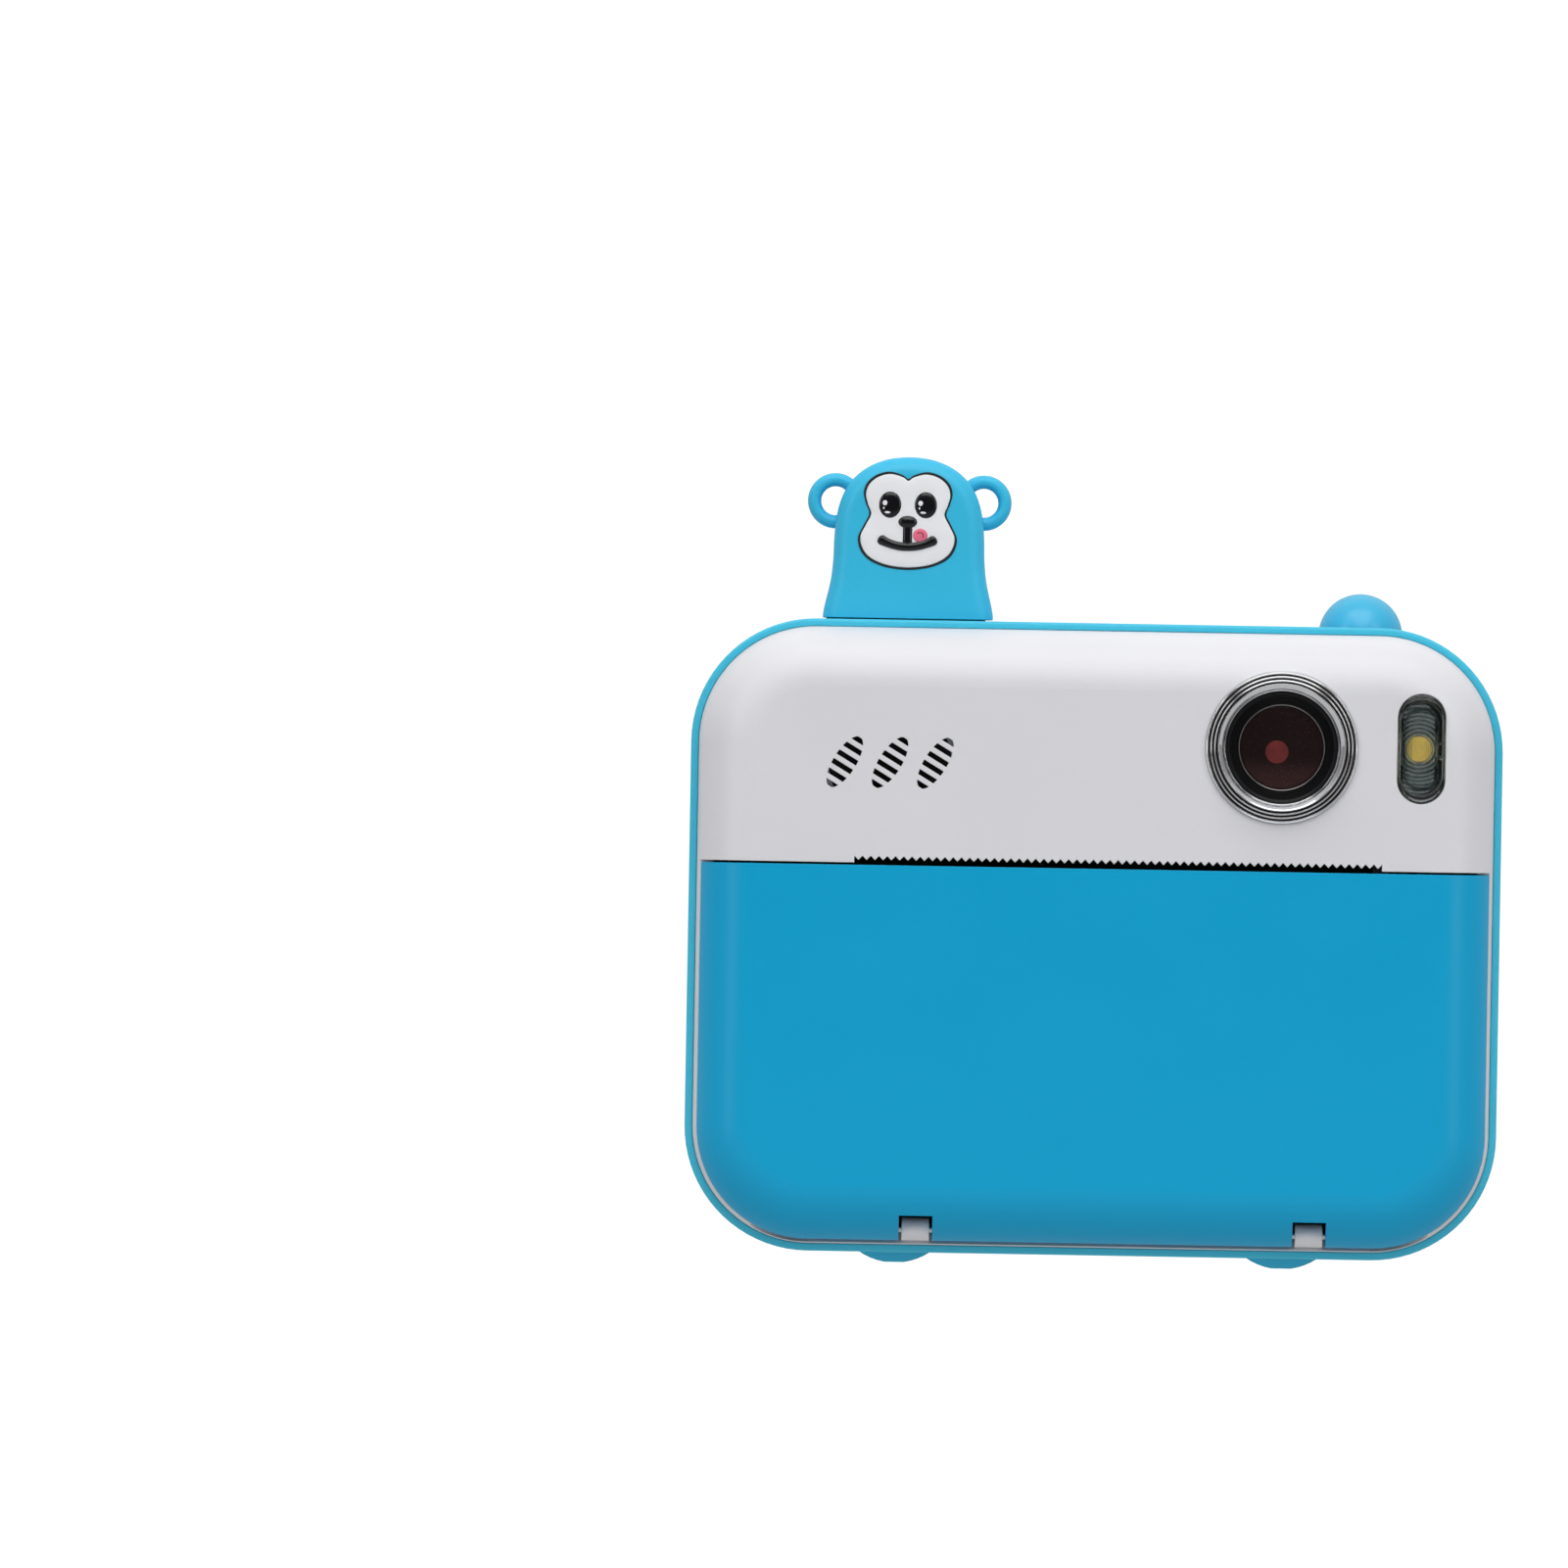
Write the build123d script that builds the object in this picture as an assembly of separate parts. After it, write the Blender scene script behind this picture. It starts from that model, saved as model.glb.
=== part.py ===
from build123d import *

import math
import os

# A kids instant-print camera: a white plastic body in a blue silicone case, with a monkey head and a dome
# shutter button on top, and a thermal printer behind a hinged paper door in front.
# Units are millimetres. +Z is up, the lens looks along -Y, and +X is to the right of someone facing the lens.
# The origin is on the ground under the middle of the case.

# ---------------------------------------------------------------- driving dimensions
case_w = 124.0
case_h = 96.6
case_corner = 19.0
case_wall = 1.2
case_back_wall = 1.45
foot_drop = 1.6
front_y = -23.0
edge_round = 9.0
lens_front_y = -25.0
back_y = 25.0
shell_wall = 1.8
split_y = 6.0
fit_gap = 0.05

mid_z = foot_drop + case_h / 2
shell_w = case_w - 2 * case_wall
shell_h = case_h - 2 * case_wall
shell_corner = case_corner - case_wall
shell_back_y = back_y - case_back_wall - fit_gap
lip_y = front_y + edge_round - 0.2
inner_front_y = front_y + shell_wall
inner_back_y = shell_back_y - shell_wall
shell_top = mid_z + shell_h / 2
case_top = mid_z + case_h / 2
shell_floor = mid_z - shell_h / 2

# Paper door: its hinge axis runs along X, a bead's radius inside the rounded bottom edge.
door_top = 60.7
door_gap = 0.35
door_back_y = front_y + 5.6
bead_r = 1.8
hinge_z = 5.3
hinge_y = front_y + edge_round - math.sqrt(
    (edge_round - bead_r) ** 2 - (shell_floor + edge_round - hinge_z) ** 2
)
bead_half = case_w / 2 - case_corner
print_x = 3.5
post_x = (print_x - 30.0, print_x + 30.0)
post_w = 4.2
notch_w = 5.1
hinge_pin_r = 0.6
running_gap = 0.05

# Tear edge: a row of teeth above the paper slot.
slot_x0 = -36.8
slot_x1 = 43.6
tooth_count = 64
tooth_h = 0.65
slot_top = 62.1

# Things set into the front.
lens_x, lens_z = 28.0, 79.65
flash_x, flash_z = 49.3, 79.8
flash_w, flash_h = 7.3, 16.7
grille_x, grille_z = -31.6, 76.35
grille_pitch = 6.9
grille_tilt = 31.0

# Things on top.
head_x = -29.5
head_front_y = -12.6
head_depth = 13.0
shutter_x, shutter_y = 40.4, 4.0
shutter_r = 6.45
shutter_rise = 5.3
shutter_travel = 1.5

# Printer.
platen_y, platen_z = -14.5, 55.0
platen_r = 4.5
platen_half = 29.5
roll_y, roll_z = -5.5, 27.0
roll_r = 15.0
roll_half = 28.5
cradle_z = 28.0
cradle_r = 16.2
head_pivot_y, head_pivot_z = -7.4, 47.6

# Back of the body.
screen_x, screen_z = 13.0, 53.0
screen_w, screen_h = 62.0, 47.0
key_x, key_z = -36.0, 45.0
key_pitch = 9.6
key_row_z = 70.0
key_travel = 0.7
key_end_y = 19.7
board_y = 14.4
board_t = 1.6
screw_places = ((-47.5, 16.1), (47.5, 16.1), (-47.5, 83.7), (13.0, 85.0))


# ---------------------------------------------------------------- helpers
def slab(outline, y0, y1):
    """A sketch drawn in X and Z, filled from depth y0 back to depth y1."""
    plane = Plane(origin=(0, y1, 0), x_dir=(1, 0, 0), z_dir=(0, -1, 0))
    return extrude(plane * outline, amount=y1 - y0)


def bar(outline, x0, x1):
    """A sketch drawn in Y and Z, filled from x0 to x1."""
    plane = Plane(origin=(x0, 0, 0), x_dir=(0, 1, 0), z_dir=(1, 0, 0))
    return extrude(plane * outline, amount=x1 - x0)


def post(outline, z0, z1):
    """A sketch drawn in X and Y, filled from z0 up to z1."""
    return extrude(Plane(origin=(0, 0, z0)) * outline, amount=z1 - z0)


def block(x0, x1, y0, y1, z0, z1):
    """A box between two corners."""
    middle = Pos((x0 + x1) / 2, (y0 + y1) / 2, (z0 + z1) / 2)
    return middle * Box(x1 - x0, y1 - y0, z1 - z0)


def rod_x(x0, x1, y, z, r):
    """A cylinder along X."""
    return bar(Pos(y, z) * Circle(r), x0, x1)


def rod_y(x, z, y0, y1, r):
    """A cylinder along Y."""
    return slab(Pos(x, z) * Circle(r), y0, y1)


def rod_z(x, y, z0, z1, r):
    """A cylinder along Z."""
    return post(Pos(x, y) * Circle(r), z0, z1)


def body_outline(grow):
    """The body's outline seen from the front, grown by a margin on every side."""
    size = RectangleRounded(shell_w + 2 * grow, shell_h + 2 * grow, shell_corner + grow)
    return Pos(0, mid_z) * size


def body_form(grow, y0, y1, front_round=0.0, back_round=0.0):
    """The body's outline as a block, with its front and back rims rounded over."""
    form = slab(body_outline(grow), y0, y1)
    if front_round:
        form = fillet(form.faces().sort_by(Axis.Y)[0].edges(), front_round)
    if back_round:
        form = fillet(form.faces().sort_by(Axis.Y)[-1].edges(), back_round)
    return form


def stadium(x, z, w, h):
    """An upright slot outline with round ends."""
    return Pos(x, z) * RectangleRounded(w, h, w / 2 - 0.001)


def gear(teeth, module, x0, x1, y, z, bore, turn=0.0, backlash=0.12):
    """A spur gear along X with involute flanks. One tooth points along +Y at turn 0, in degrees."""
    pressure = math.radians(20)
    pitch_r = teeth * module / 2
    base_r = pitch_r * math.cos(pressure)
    tip_r = pitch_r + 0.9 * module
    root_r = pitch_r - 1.25 * module
    half = math.pi / (2 * teeth) - backlash / (2 * pitch_r)
    low_r = max(base_r, root_r)
    flank = []
    for i in range(4):
        r = low_r + (tip_r - low_r) * i / 3
        a = math.acos(base_r / r)
        flank.append((r, half + math.tan(pressure) - pressure - (math.tan(a) - a)))
    if base_r > root_r:
        flank.insert(0, (root_r, flank[0][1]))
    points = []
    for n in range(teeth):
        middle = 2 * math.pi * n / teeth + math.radians(turn)
        side = [(r, middle - t) for r, t in flank] + [(r, middle + t) for r, t in reversed(flank)]
        points += [(r * math.cos(t), r * math.sin(t)) for r, t in side]
    blank = make_face(Polyline(*points, close=True))
    wheel = bar(Pos(y, z) * blank, x0, x1)
    if bore:
        wheel -= rod_x(x0 - 1, x1 + 1, y, z, bore)
    return wheel


def coil(x, y, z, radius, wire, height, turns):
    """A compression spring standing along Z, its wire a little clear of both seats."""
    pitch = (height - 2 * wire) / turns
    path = Pos(x, y, z + wire) * Helix(pitch=pitch, height=pitch * turns, radius=radius)
    start = Plane(origin=path @ 0, z_dir=path % 0)
    return sweep(start * Circle(wire / 2), path=path, is_frenet=True)


# ---------------------------------------------------------------- housings
def hinge_posts():
    """Two fingers of the front shell that hold the paper door's hinge pins."""
    posts = []
    for x in post_x:
        knuckle = rod_x(x - post_w / 2, x + post_w / 2, hinge_y, hinge_z, bead_r)
        stem = block(x - post_w / 2, x + post_w / 2, hinge_y, -8.0, hinge_z - 1.75, hinge_z + 1.2)
        foot = block(x - post_w / 2, x + post_w / 2, -12.0, -8.0, shell_floor + 1.0, hinge_z)
        bore = rod_x(x - post_w, x + post_w, hinge_y, hinge_z, hinge_pin_r)
        posts.append(knuckle + stem + foot - bore)
    return posts


def tear_slot():
    """The paper slot's outline in X and Z: a long gap whose top edge is cut into teeth."""
    pitch = (slot_x1 - slot_x0) / tooth_count
    points = [(slot_x0, door_top - 1), (slot_x0, slot_top)]
    for n in range(tooth_count):
        x = slot_x0 + n * pitch
        points += [(x + pitch / 2, slot_top - tooth_h), (x + pitch, slot_top)]
    points.append((slot_x1, door_top - 1))
    return make_face(Polyline(*points, close=True))


def grille_holes():
    """Three slanted ellipses, each crossed by five ribs, so that six slots go through the wall."""
    stripe_pitch = 1.58
    stripe = 0.8
    cuts = []
    for n in (-1, 0, 1):
        place = Pos(grille_x + n * grille_pitch, grille_z) * Rot(0, 0, -grille_tilt)
        ellipse = Ellipse(1.75, 4.43)
        for k in range(6):
            band = Pos(0, (k - 2.5) * stripe_pitch) * Rectangle(6, stripe)
            cuts.append(place * (ellipse & band))
    return cuts


def corner_cove(side):
    """The turned hollow that the door's rounded lower corner swings through, beyond the bead's end."""
    profile = [(bead_half, 0), (bead_half, 2.5), (45.0, 2.45), (47.0, 2.2), (49.0, 1.7), (50.5, 1.2)]
    profile += [(51.6, 0.6), (51.6, 0)]
    plane = Plane(origin=(0, hinge_y, hinge_z), x_dir=(1, 0, 0), z_dir=(0, -1, 0))
    outline = make_face(Polyline(*[(side * x, r) for x, r in profile], close=True))
    return revolve(plane * outline, axis=Axis((0, hinge_y, hinge_z), (1, 0, 0)))


def front_shell():
    cavity = body_form(-shell_wall, inner_front_y, split_y + 1, edge_round - shell_wall)
    shell = body_form(0, front_y, split_y, edge_round) - cavity

    # The paper door's share of the front is cut away, with a round clearance for its hinge bead.
    shell -= block(-70, 70, front_y - 1, door_back_y + 0.2, 0, door_top + door_gap)
    shell -= rod_x(-bead_half - 0.3, bead_half + 0.3, hinge_y, hinge_z, bead_r + 0.7)
    for side in (-1, 1):
        shell -= corner_cove(side)
    shell -= slab(tear_slot(), front_y - 1, inner_front_y + 0.5)
    for p in hinge_posts():
        shell += p

    # A chin behind the tear edge stiffens the wall and guides the paper out.
    chin = block(-50, 50, inner_front_y - 0.1, inner_front_y + 2.2, slot_top + 1.2, slot_top + 2.6)
    shell += chin

    # Lens seat, flash seat and speaker seat behind the front wall.
    shell += rod_y(lens_x, lens_z, inner_front_y - 0.1, -17.0, 12.6)
    shell += slab(stadium(flash_x, flash_z, flash_w + 3.6, flash_h + 3.6), inner_front_y - 0.1, -18.0)
    for x, z in ((-8.0, -7.6), (8.0, -7.6), (-8.0, 7.6), (8.0, 7.6)):
        shell += rod_y(lens_x + x, lens_z + z, -17.1, -6.0, 1.3)
    ring = Circle(11.9) - Circle(10.25)
    shell += slab(Pos(grille_x, grille_z) * ring, inner_front_y - 0.1, -17.0)
    shell -= rod_y(lens_x, lens_z, front_y - 1, -16.0, 10.0)
    shell -= rod_y(lens_x, lens_z, front_y - 1, front_y + 0.6, 11.65)
    shell -= slab(stadium(flash_x, flash_z, flash_w + 0.1, flash_h + 0.1), front_y - 1, -18.0)
    for hole in grille_holes():
        shell -= slab(hole, front_y - 1, inner_front_y + 0.3)

    # Screw bosses, tied to the walls by ribs.
    inside = body_form(-0.5, front_y + 0.5, split_y, edge_round - 0.5)
    for x, z in screw_places:
        high = z > mid_z
        boss = rod_y(x, z, inner_front_y - 0.1 if high else -12.0, split_y, 3.0)
        if not high:
            side = math.copysign(1, x)
            boss += block(*sorted((x, side * 60)), -12.0, split_y, z - 0.8, z + 0.8)
            boss += block(x - 0.8, x + 0.8, -12.0, split_y, shell_floor, z)
        shell += boss & inside
        shell -= rod_y(x, z, -9.0, split_y + 1, 1.15)

    # Top: shutter opening and two posts that carry the shutter board.
    shell -= rod_z(shutter_x, shutter_y, shell_top - 3, shell_top + 1, shutter_r + 0.3)
    for x in (shutter_x - 6.6, shutter_x + 6.6):
        shell += rod_z(x, shutter_y - 6.9, 87.7, shell_top - 1, 1.3)

    # Bosses that the printer bay is screwed to.
    for x, z in bay_screw_places:
        boss = rod_y(x, z, -13.0, -6.0, 2.2)
        boss += block(*sorted((x, math.copysign(60, x))), -13.0, -6.0, z - 0.7, z + 0.7)
        shell += boss & inside
        shell -= rod_y(x, z, -13.5, -8.0, 0.85)
    return shell


bay_screw_places = ((-56.5, 26.0), (56.5, 26.0), (-56.5, 50.0), (56.5, 57.5))


def rear_shell():
    cavity = body_form(-shell_wall, split_y - 1, inner_back_y, 0, 3.2)
    shell = body_form(0, split_y, shell_back_y, 0, 5.0) - cavity

    # Window seat for the screen, and the view through it.
    seat = Pos(screen_x, screen_z) * RectangleRounded(screen_w + 0.1, screen_h + 0.1, 3.05)
    view = Pos(screen_x, screen_z) * RectangleRounded(54, 41, 1)
    shell -= slab(seat, shell_back_y - 1.2, shell_back_y + 1)
    shell -= slab(view, inner_back_y - 1, shell_back_y + 1)
    for _, x, z, r in keys():
        shell -= rod_y(x, z, inner_back_y - 1, shell_back_y + 1, r + 0.3)

    # Screw bosses with sunk seats for the screw heads.
    for x, z in screw_places:
        shell += rod_y(x, z, split_y, shell_back_y - 0.5, 3.4)
        shell += rod_y(x, z, board_y + board_t, shell_back_y - 0.5, 4.6)
        shell -= rod_y(x, z, split_y - 1, shell_back_y + 1, 1.25)
        shell -= rod_y(x, z, 9.0, shell_back_y + 1, 2.6)

    shell -= rod_z(shutter_x, shutter_y, shell_top - 3, shell_top + 1, shutter_r + 0.3)

    # Side openings for the charging socket, the memory card and the reset pin.
    for hole in port_holes():
        shell -= bar(hole, -62, -56)
    return shell


usb_z = 66.0
card_z = 50.0
reset_z = 58.8


def port_holes():
    """Outlines, in Y and Z, of the three holes in the body's left wall."""
    usb = Pos(board_y - 1.65, usb_z) * RectangleRounded(3.6, 9.4, 1.75)
    card = Pos(board_y - 1.0, card_z) * RectangleRounded(2.0, 12.4, 0.6)
    reset = Pos(board_y - 1.2, reset_z) * Circle(0.7)
    return usb, card, reset


def silicone_case():
    case = body_form(case_wall, lip_y, back_y, 0, 6.2)
    case = fillet(case.faces().sort_by(Axis.Y)[0].edges(), 0.5)

    # Two feet: long pads under the case, each a shallow round in section with a narrow flat to stand on.
    foot_r = 9.7
    ground = block(-70, 70, -30, 30, 0, 10)
    for x in (-29.6, 29.6):
        pad = slab(Pos(x, foot_r - 0.12) * Circle(foot_r), -9.0, 20.0)
        case += pad & ground & block(x - 8, x + 8, -30, 30, 0, foot_drop + 0.6)

    void = body_form(fit_gap, front_y, back_y - case_back_wall, 0, 5.0)
    case -= void
    window = Pos(0, mid_z) * RectangleRounded(shell_w - 14, shell_h - 14, 11)
    case -= slab(window, shell_back_y - 1, back_y + 1)
    case -= rod_z(shutter_x, shutter_y, shell_top - 1, case_top + 1, shutter_r + 0.4)
    for x in (head_x - 6, head_x + 6):
        case -= rod_z(x, head_front_y + head_depth / 2, shell_top - 1, case_top + 1, 1.5)
    port = Pos(board_y - 1.2, 58.6) * RectangleRounded(7.5, 30.5, 3.0)
    return case - bar(port, -64, -59)


# ---------------------------------------------------------------- monkey head
head_base_z = case_top + 0.02
head_top_z = 123.3
neck_half = 11.65
base_half = 12.7
crown_h = 11.1
crown_pull = 0.64
head_round = 2.6
ear_z = 116.6
ear_x = 11.5
ear_r = 4.25
ear_hole_r = 2.3


def head_profile():
    """The head's outline in X and Z, carried on below its base so that only the part above is kept."""
    crown_z = head_top_z - crown_h
    edges = []
    for side in (-1, 1):
        waist = [(base_half + 1.5, head_base_z - 6.0), (base_half - 0.7, head_base_z + 1.0)]
        waist += [(neck_half, head_base_z + 8.0), (neck_half, crown_z)]
        crown = [(neck_half, crown_z), (neck_half, crown_z + crown_h * crown_pull)]
        crown += [(neck_half * crown_pull, head_top_z), (0, head_top_z)]
        edges.append(Bezier(*[(head_x + side * x, z) for x, z in waist]))
        edges.append(Bezier(*[(head_x + side * x, z) for x, z in crown]))
    foot = Line(edges[0] @ 0, edges[2] @ 0)
    return make_face([*edges, foot])


def monkey_head():
    """A soft head with a flared base and two ring ears, bonded to the case by two pegs."""
    head = slab(head_profile(), head_front_y, head_front_y + head_depth)
    rims = [e for e in head.edges() if e.bounding_box().size.Y < 0.1 and e.bounding_box().size.Z > 1]
    head = fillet(rims, head_round)
    head &= block(-60, 60, -40, 40, head_base_z, head_top_z + 1)
    for side in (-1, 1):
        x = head_x + side * ear_x
        ring = slab(Pos(x, ear_z) * Circle(ear_r), head_front_y + 4.2, head_front_y + 8.4)
        ring = fillet(ring.edges(), 0.9)
        outer = block(*sorted((x - side * 1.6, x + side * 8)), -20, 5, ear_z - 8, ear_z + 8)
        hole = slab(Pos(x, ear_z) * Circle(ear_hole_r), -20, 5)
        opening = block(*sorted((x + side * 0.2, x + side * 8)), -20, 5, ear_z - 8, ear_z + 8)
        head += (ring & outer) - (hole & opening)
    for x in (head_x - 6, head_x + 6):
        head += rod_z(x, head_front_y + head_depth / 2, shell_top + 0.3, head_base_z + 0.5, 1.45)
    return head - slab(face_outline(), head_front_y - 1, head_front_y + 0.9)


face_half = (
    (0.9, 120.2),
    (2.8, 120.65),
    (4.7, 120.15),
    (6.1, 119.0),
    (6.6, 117.5),
    (6.3, 115.9),
    (5.75, 114.4),
    (6.6, 112.7),
    (7.35, 110.9),
    (7.0, 109.1),
    (5.8, 107.75),
    (3.7, 106.75),
    (1.2, 106.35),
)


def face_outline():
    """A soft face: two round brows with a notch between them, over a wide muzzle."""
    notch = (head_x, 119.6)
    chin = (head_x, 106.3)
    right = Spline(notch, *[(head_x + x, z) for x, z in face_half], chin, tangents=[(0.3, 1), (-1, 0)])
    left = Spline(notch, *[(head_x - x, z) for x, z in face_half], chin, tangents=[(-0.3, 1), (1, 0)])
    return make_face([right, left])


face_back_y = head_front_y + 0.9
face_front_y = head_front_y - 0.25
inlay_front_y = face_front_y - 0.2


def eye_outline():
    return Pos(head_x - 2.7, 115.9) * Ellipse(1.65, 1.95) + Pos(head_x + 2.7, 115.9) * Ellipse(1.65, 1.95)


def mouth_outline():
    """Nose, a short stem under it and a smile with round ends, in one piece."""
    nose = Pos(head_x, 113.45) * Ellipse(1.3, 0.9)
    stem = Pos(head_x, 111.6) * Rectangle(0.95, 3.6)
    smile = (Circle(8.0) - Pos(0, 1.0) * Circle(7.75)) & Pos(0, -7.3) * Rectangle(8.3, 3.0)
    ends = Pos(-4.05, -6.55) * Circle(0.75) + Pos(4.05, -6.55) * Circle(0.75)
    return nose + stem + Pos(head_x, 117.2) * (smile + ends)


def tongue_outline():
    half_disc = Pos(head_x + 1.85, 110.9) * Circle(1.2) & Pos(head_x + 1.85, 111.7) * Rectangle(3, 2)
    return half_disc - mouth_outline()


def face_plate():
    plate = slab(face_outline(), face_front_y, face_back_y)
    for inlay in (eye_outline(), mouth_outline(), tongue_outline()):
        plate -= slab(inlay, face_front_y - 1, face_front_y + 0.5)
    return plate


def face_inlay(outline):
    return slab(outline, inlay_front_y, face_front_y + 0.5)


# ---------------------------------------------------------------- shutter button
dome_z = case_top + shutter_rise - shutter_r
flange_z = shell_top - shell_wall - 0.85
flange_r = 7.3
stem_end_z = 91.4
shutter_board_z = 87.7


def shutter_button():
    dome = Pos(shutter_x, shutter_y, dome_z) * Sphere(shutter_r)
    dome &= block(0, 70, -20, 20, dome_z, 120)
    cap = dome + rod_z(shutter_x, shutter_y, flange_z - 1.4, dome_z, shutter_r)
    cap += rod_z(shutter_x, shutter_y, flange_z - 1.4, flange_z, flange_r)
    return cap + rod_z(shutter_x, shutter_y, stem_end_z, flange_z - 1.3, 1.6)


def shutter_switch():
    base_z = shutter_board_z
    case = block(shutter_x - 3, shutter_x + 3, shutter_y - 3, shutter_y + 3, base_z, base_z + 1.5)
    return case + rod_z(shutter_x, shutter_y, base_z + 1.5, stem_end_z - shutter_travel - 0.1, 1.7)


# ---------------------------------------------------------------- lens, flash and speaker
def ring_y(x, z, profile):
    """A ring turned about an axis along Y. The profile lists radius and depth pairs."""
    plane = Plane(origin=(x, 0, z), x_dir=(1, 0, 0), z_dir=(0, 0, 1))
    outline = make_face(Polyline(*profile, close=True))
    return revolve(plane * outline, axis=Axis((x, 0, z), (0, 1, 0)))


def lens_bezel():
    """A chromed ring with three fine steps outside and a wide bevel inside."""
    profile = [
        (11.6, front_y + 0.6),
        (11.6, front_y - 0.8),
        (11.1, front_y - 1.2),
        (11.1, front_y - 1.5),
        (10.6, front_y - 1.8),
        (10.6, lens_front_y + 0.1),
        (10.3, lens_front_y),
        (9.9, lens_front_y),
        (8.7, front_y - 0.6),
        (8.7, front_y + 1.4),
        (9.9, front_y + 1.4),
        (9.9, front_y + 0.6),
    ]
    return ring_y(lens_x, lens_z, profile)


def lens_barrel():
    """A black tube inside the chromed ring, stepped down to the glass."""
    profile = [
        (8.65, front_y - 0.7),
        (8.0, front_y - 0.7),
        (6.7, front_y + 0.3),
        (6.7, front_y + 1.5),
        (5.6, front_y + 1.5),
        (5.6, front_y + 6.0),
        (9.9, front_y + 6.0),
        (9.9, front_y + 1.5),
        (8.65, front_y + 1.5),
    ]
    return ring_y(lens_x, lens_z, profile)


def lens_glass():
    return rod_y(lens_x, lens_z, front_y + 0.5, front_y + 1.5, 6.65)


def camera_lens():
    """The small lens cell: a threaded tube with a domed front glass, screwed into its holder."""
    cell = rod_y(lens_x, lens_z, front_y + 4.0, -8.0, 4.2)
    cell += rod_y(lens_x, lens_z, -12.0, -6.0, 6.0)
    dimple = Pos(lens_x, front_y + 2.0, lens_z) * Sphere(3.2)
    return cell - dimple


def camera_board():
    outline = Pos(lens_x, lens_z) * RectangleRounded(19, 18.4, 1.5)
    return slab(outline, -6.0, -4.8)


def flash_window():
    """A clear stadium lens with ring ridges on its inner face, centred on the lamp."""
    window = slab(stadium(flash_x, flash_z, flash_w, flash_h), front_y - 0.15, -20.9)
    window = fillet(window.faces().sort_by(Axis.Y)[0].edges(), 0.5)
    tray = stadium(flash_x, flash_z, flash_w - 2.6, flash_h - 2.6)
    window -= slab(tray, -21.8, -20.0)
    bounds = slab(stadium(flash_x, flash_z, flash_w - 2.7, flash_h - 2.7), -22.0, -21.0)
    for n in range(2, 11):
        r = 0.62 * n
        ridge = slab(Pos(flash_x, flash_z) * (Circle(r + 0.13) - Circle(r - 0.13)), -22.0, -21.5)
        window += ridge & bounds
    return window


def flash_lamp():
    """The lamp: a pale yellow light-emitting square on its white base."""
    base = block(flash_x - 2.5, flash_x + 2.5, -19.2, -18.0, flash_z - 2.5, flash_z + 2.5)
    return base + block(flash_x - 1.5, flash_x + 1.5, -19.7, -19.2, flash_z - 1.9, flash_z + 1.9)


def flash_board():
    return slab(Pos(flash_x, flash_z) * RectangleRounded(9.6, 19, 1), -18.0, -17.0)


def speaker_driver():
    """The speaker's steel basket with its magnet behind."""
    profile = [
        (10.2, -21.2),
        (10.2, -19.4),
        (7.4, -17.6),
        (6.2, -17.6),
        (6.2, -15.4),
        (0, -15.4),
        (0, -18.2),
        (6.0, -18.2),
        (9.4, -20.2),
        (9.4, -21.2),
    ]
    return ring_y(grille_x, grille_z, profile)


def speaker_cone():
    profile = [(9.3, -20.8), (9.3, -20.5), (3.4, -19.3), (0, -19.9), (0, -20.2), (3.4, -19.6)]
    return ring_y(grille_x, grille_z, profile)


# ---------------------------------------------------------------- paper door and platen
bracket_x = ((print_x - 33.0, print_x - 31.0), (print_x + 31.0, print_x + 33.0))


def paper_door():
    form = body_form(0, front_y, split_y, edge_round)
    cavity = body_form(-shell_wall, inner_front_y, split_y + 1, edge_round - shell_wall)
    door = (form - cavity) & block(-70, 70, front_y - 1, door_back_y, 0, door_top)
    tangent_y = hinge_y - bead_r * (front_y + edge_round - hinge_y) / (edge_round - bead_r)
    door -= block(-bead_half, bead_half, tangent_y, -10, 0, hinge_z)
    door += rod_x(-bead_half, bead_half, hinge_y, hinge_z, bead_r)
    web = block(-bead_half, bead_half, front_y + 3.2, hinge_y - 0.3, hinge_z - 0.9, hinge_z + 1.2)
    door += web & form
    for x in post_x:
        door -= block(x - notch_w / 2, x + notch_w / 2, front_y - 1, -10, 0, hinge_z + bead_r + 0.25)
        reach = post_w / 2 + 3.1
        door -= rod_x(x - reach, x + reach, hinge_y, hinge_z, hinge_pin_r + running_gap)

    # A guide lip along the top edge, and two brackets that carry the platen roller.
    door += block(-50, 50, inner_front_y - 0.1, -18.9, door_top - 1.5, door_top)
    for x0, x1 in bracket_x:
        arm = block(x0, x1, inner_front_y - 0.1, platen_y, platen_z - 3.4, platen_z + 3.4)
        arm += rod_x(x0, x1, platen_y, platen_z, 3.4)
        gusset = block(x0, x1, inner_front_y - 0.1, inner_front_y + 2.4, platen_z - 12, platen_z)
        door += arm + gusset
        door -= rod_x(x0 - 1, x1 + 1, platen_y, platen_z, 2.5)
    return door


def platen_bushes():
    sleeves = []
    for x0, x1 in bracket_x:
        sleeve = rod_x(x0, x1, platen_y, platen_z, 2.5)
        sleeves.append(sleeve - rod_x(x0 - 1, x1 + 1, platen_y, platen_z, 1.5 + running_gap))
    return Compound(children=sleeves)


platen_x0 = print_x - platen_half
platen_x1 = print_x + platen_half


def platen_shaft():
    return rod_x(platen_x0 - 4.6, platen_x1 + 9.2, platen_y, platen_z, 1.5)


def platen_rubber():
    sleeve = rod_x(platen_x0, platen_x1, platen_y, platen_z, platen_r)
    return sleeve - rod_x(platen_x0 - 1, platen_x1 + 1, platen_y, platen_z, 1.5)


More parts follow.
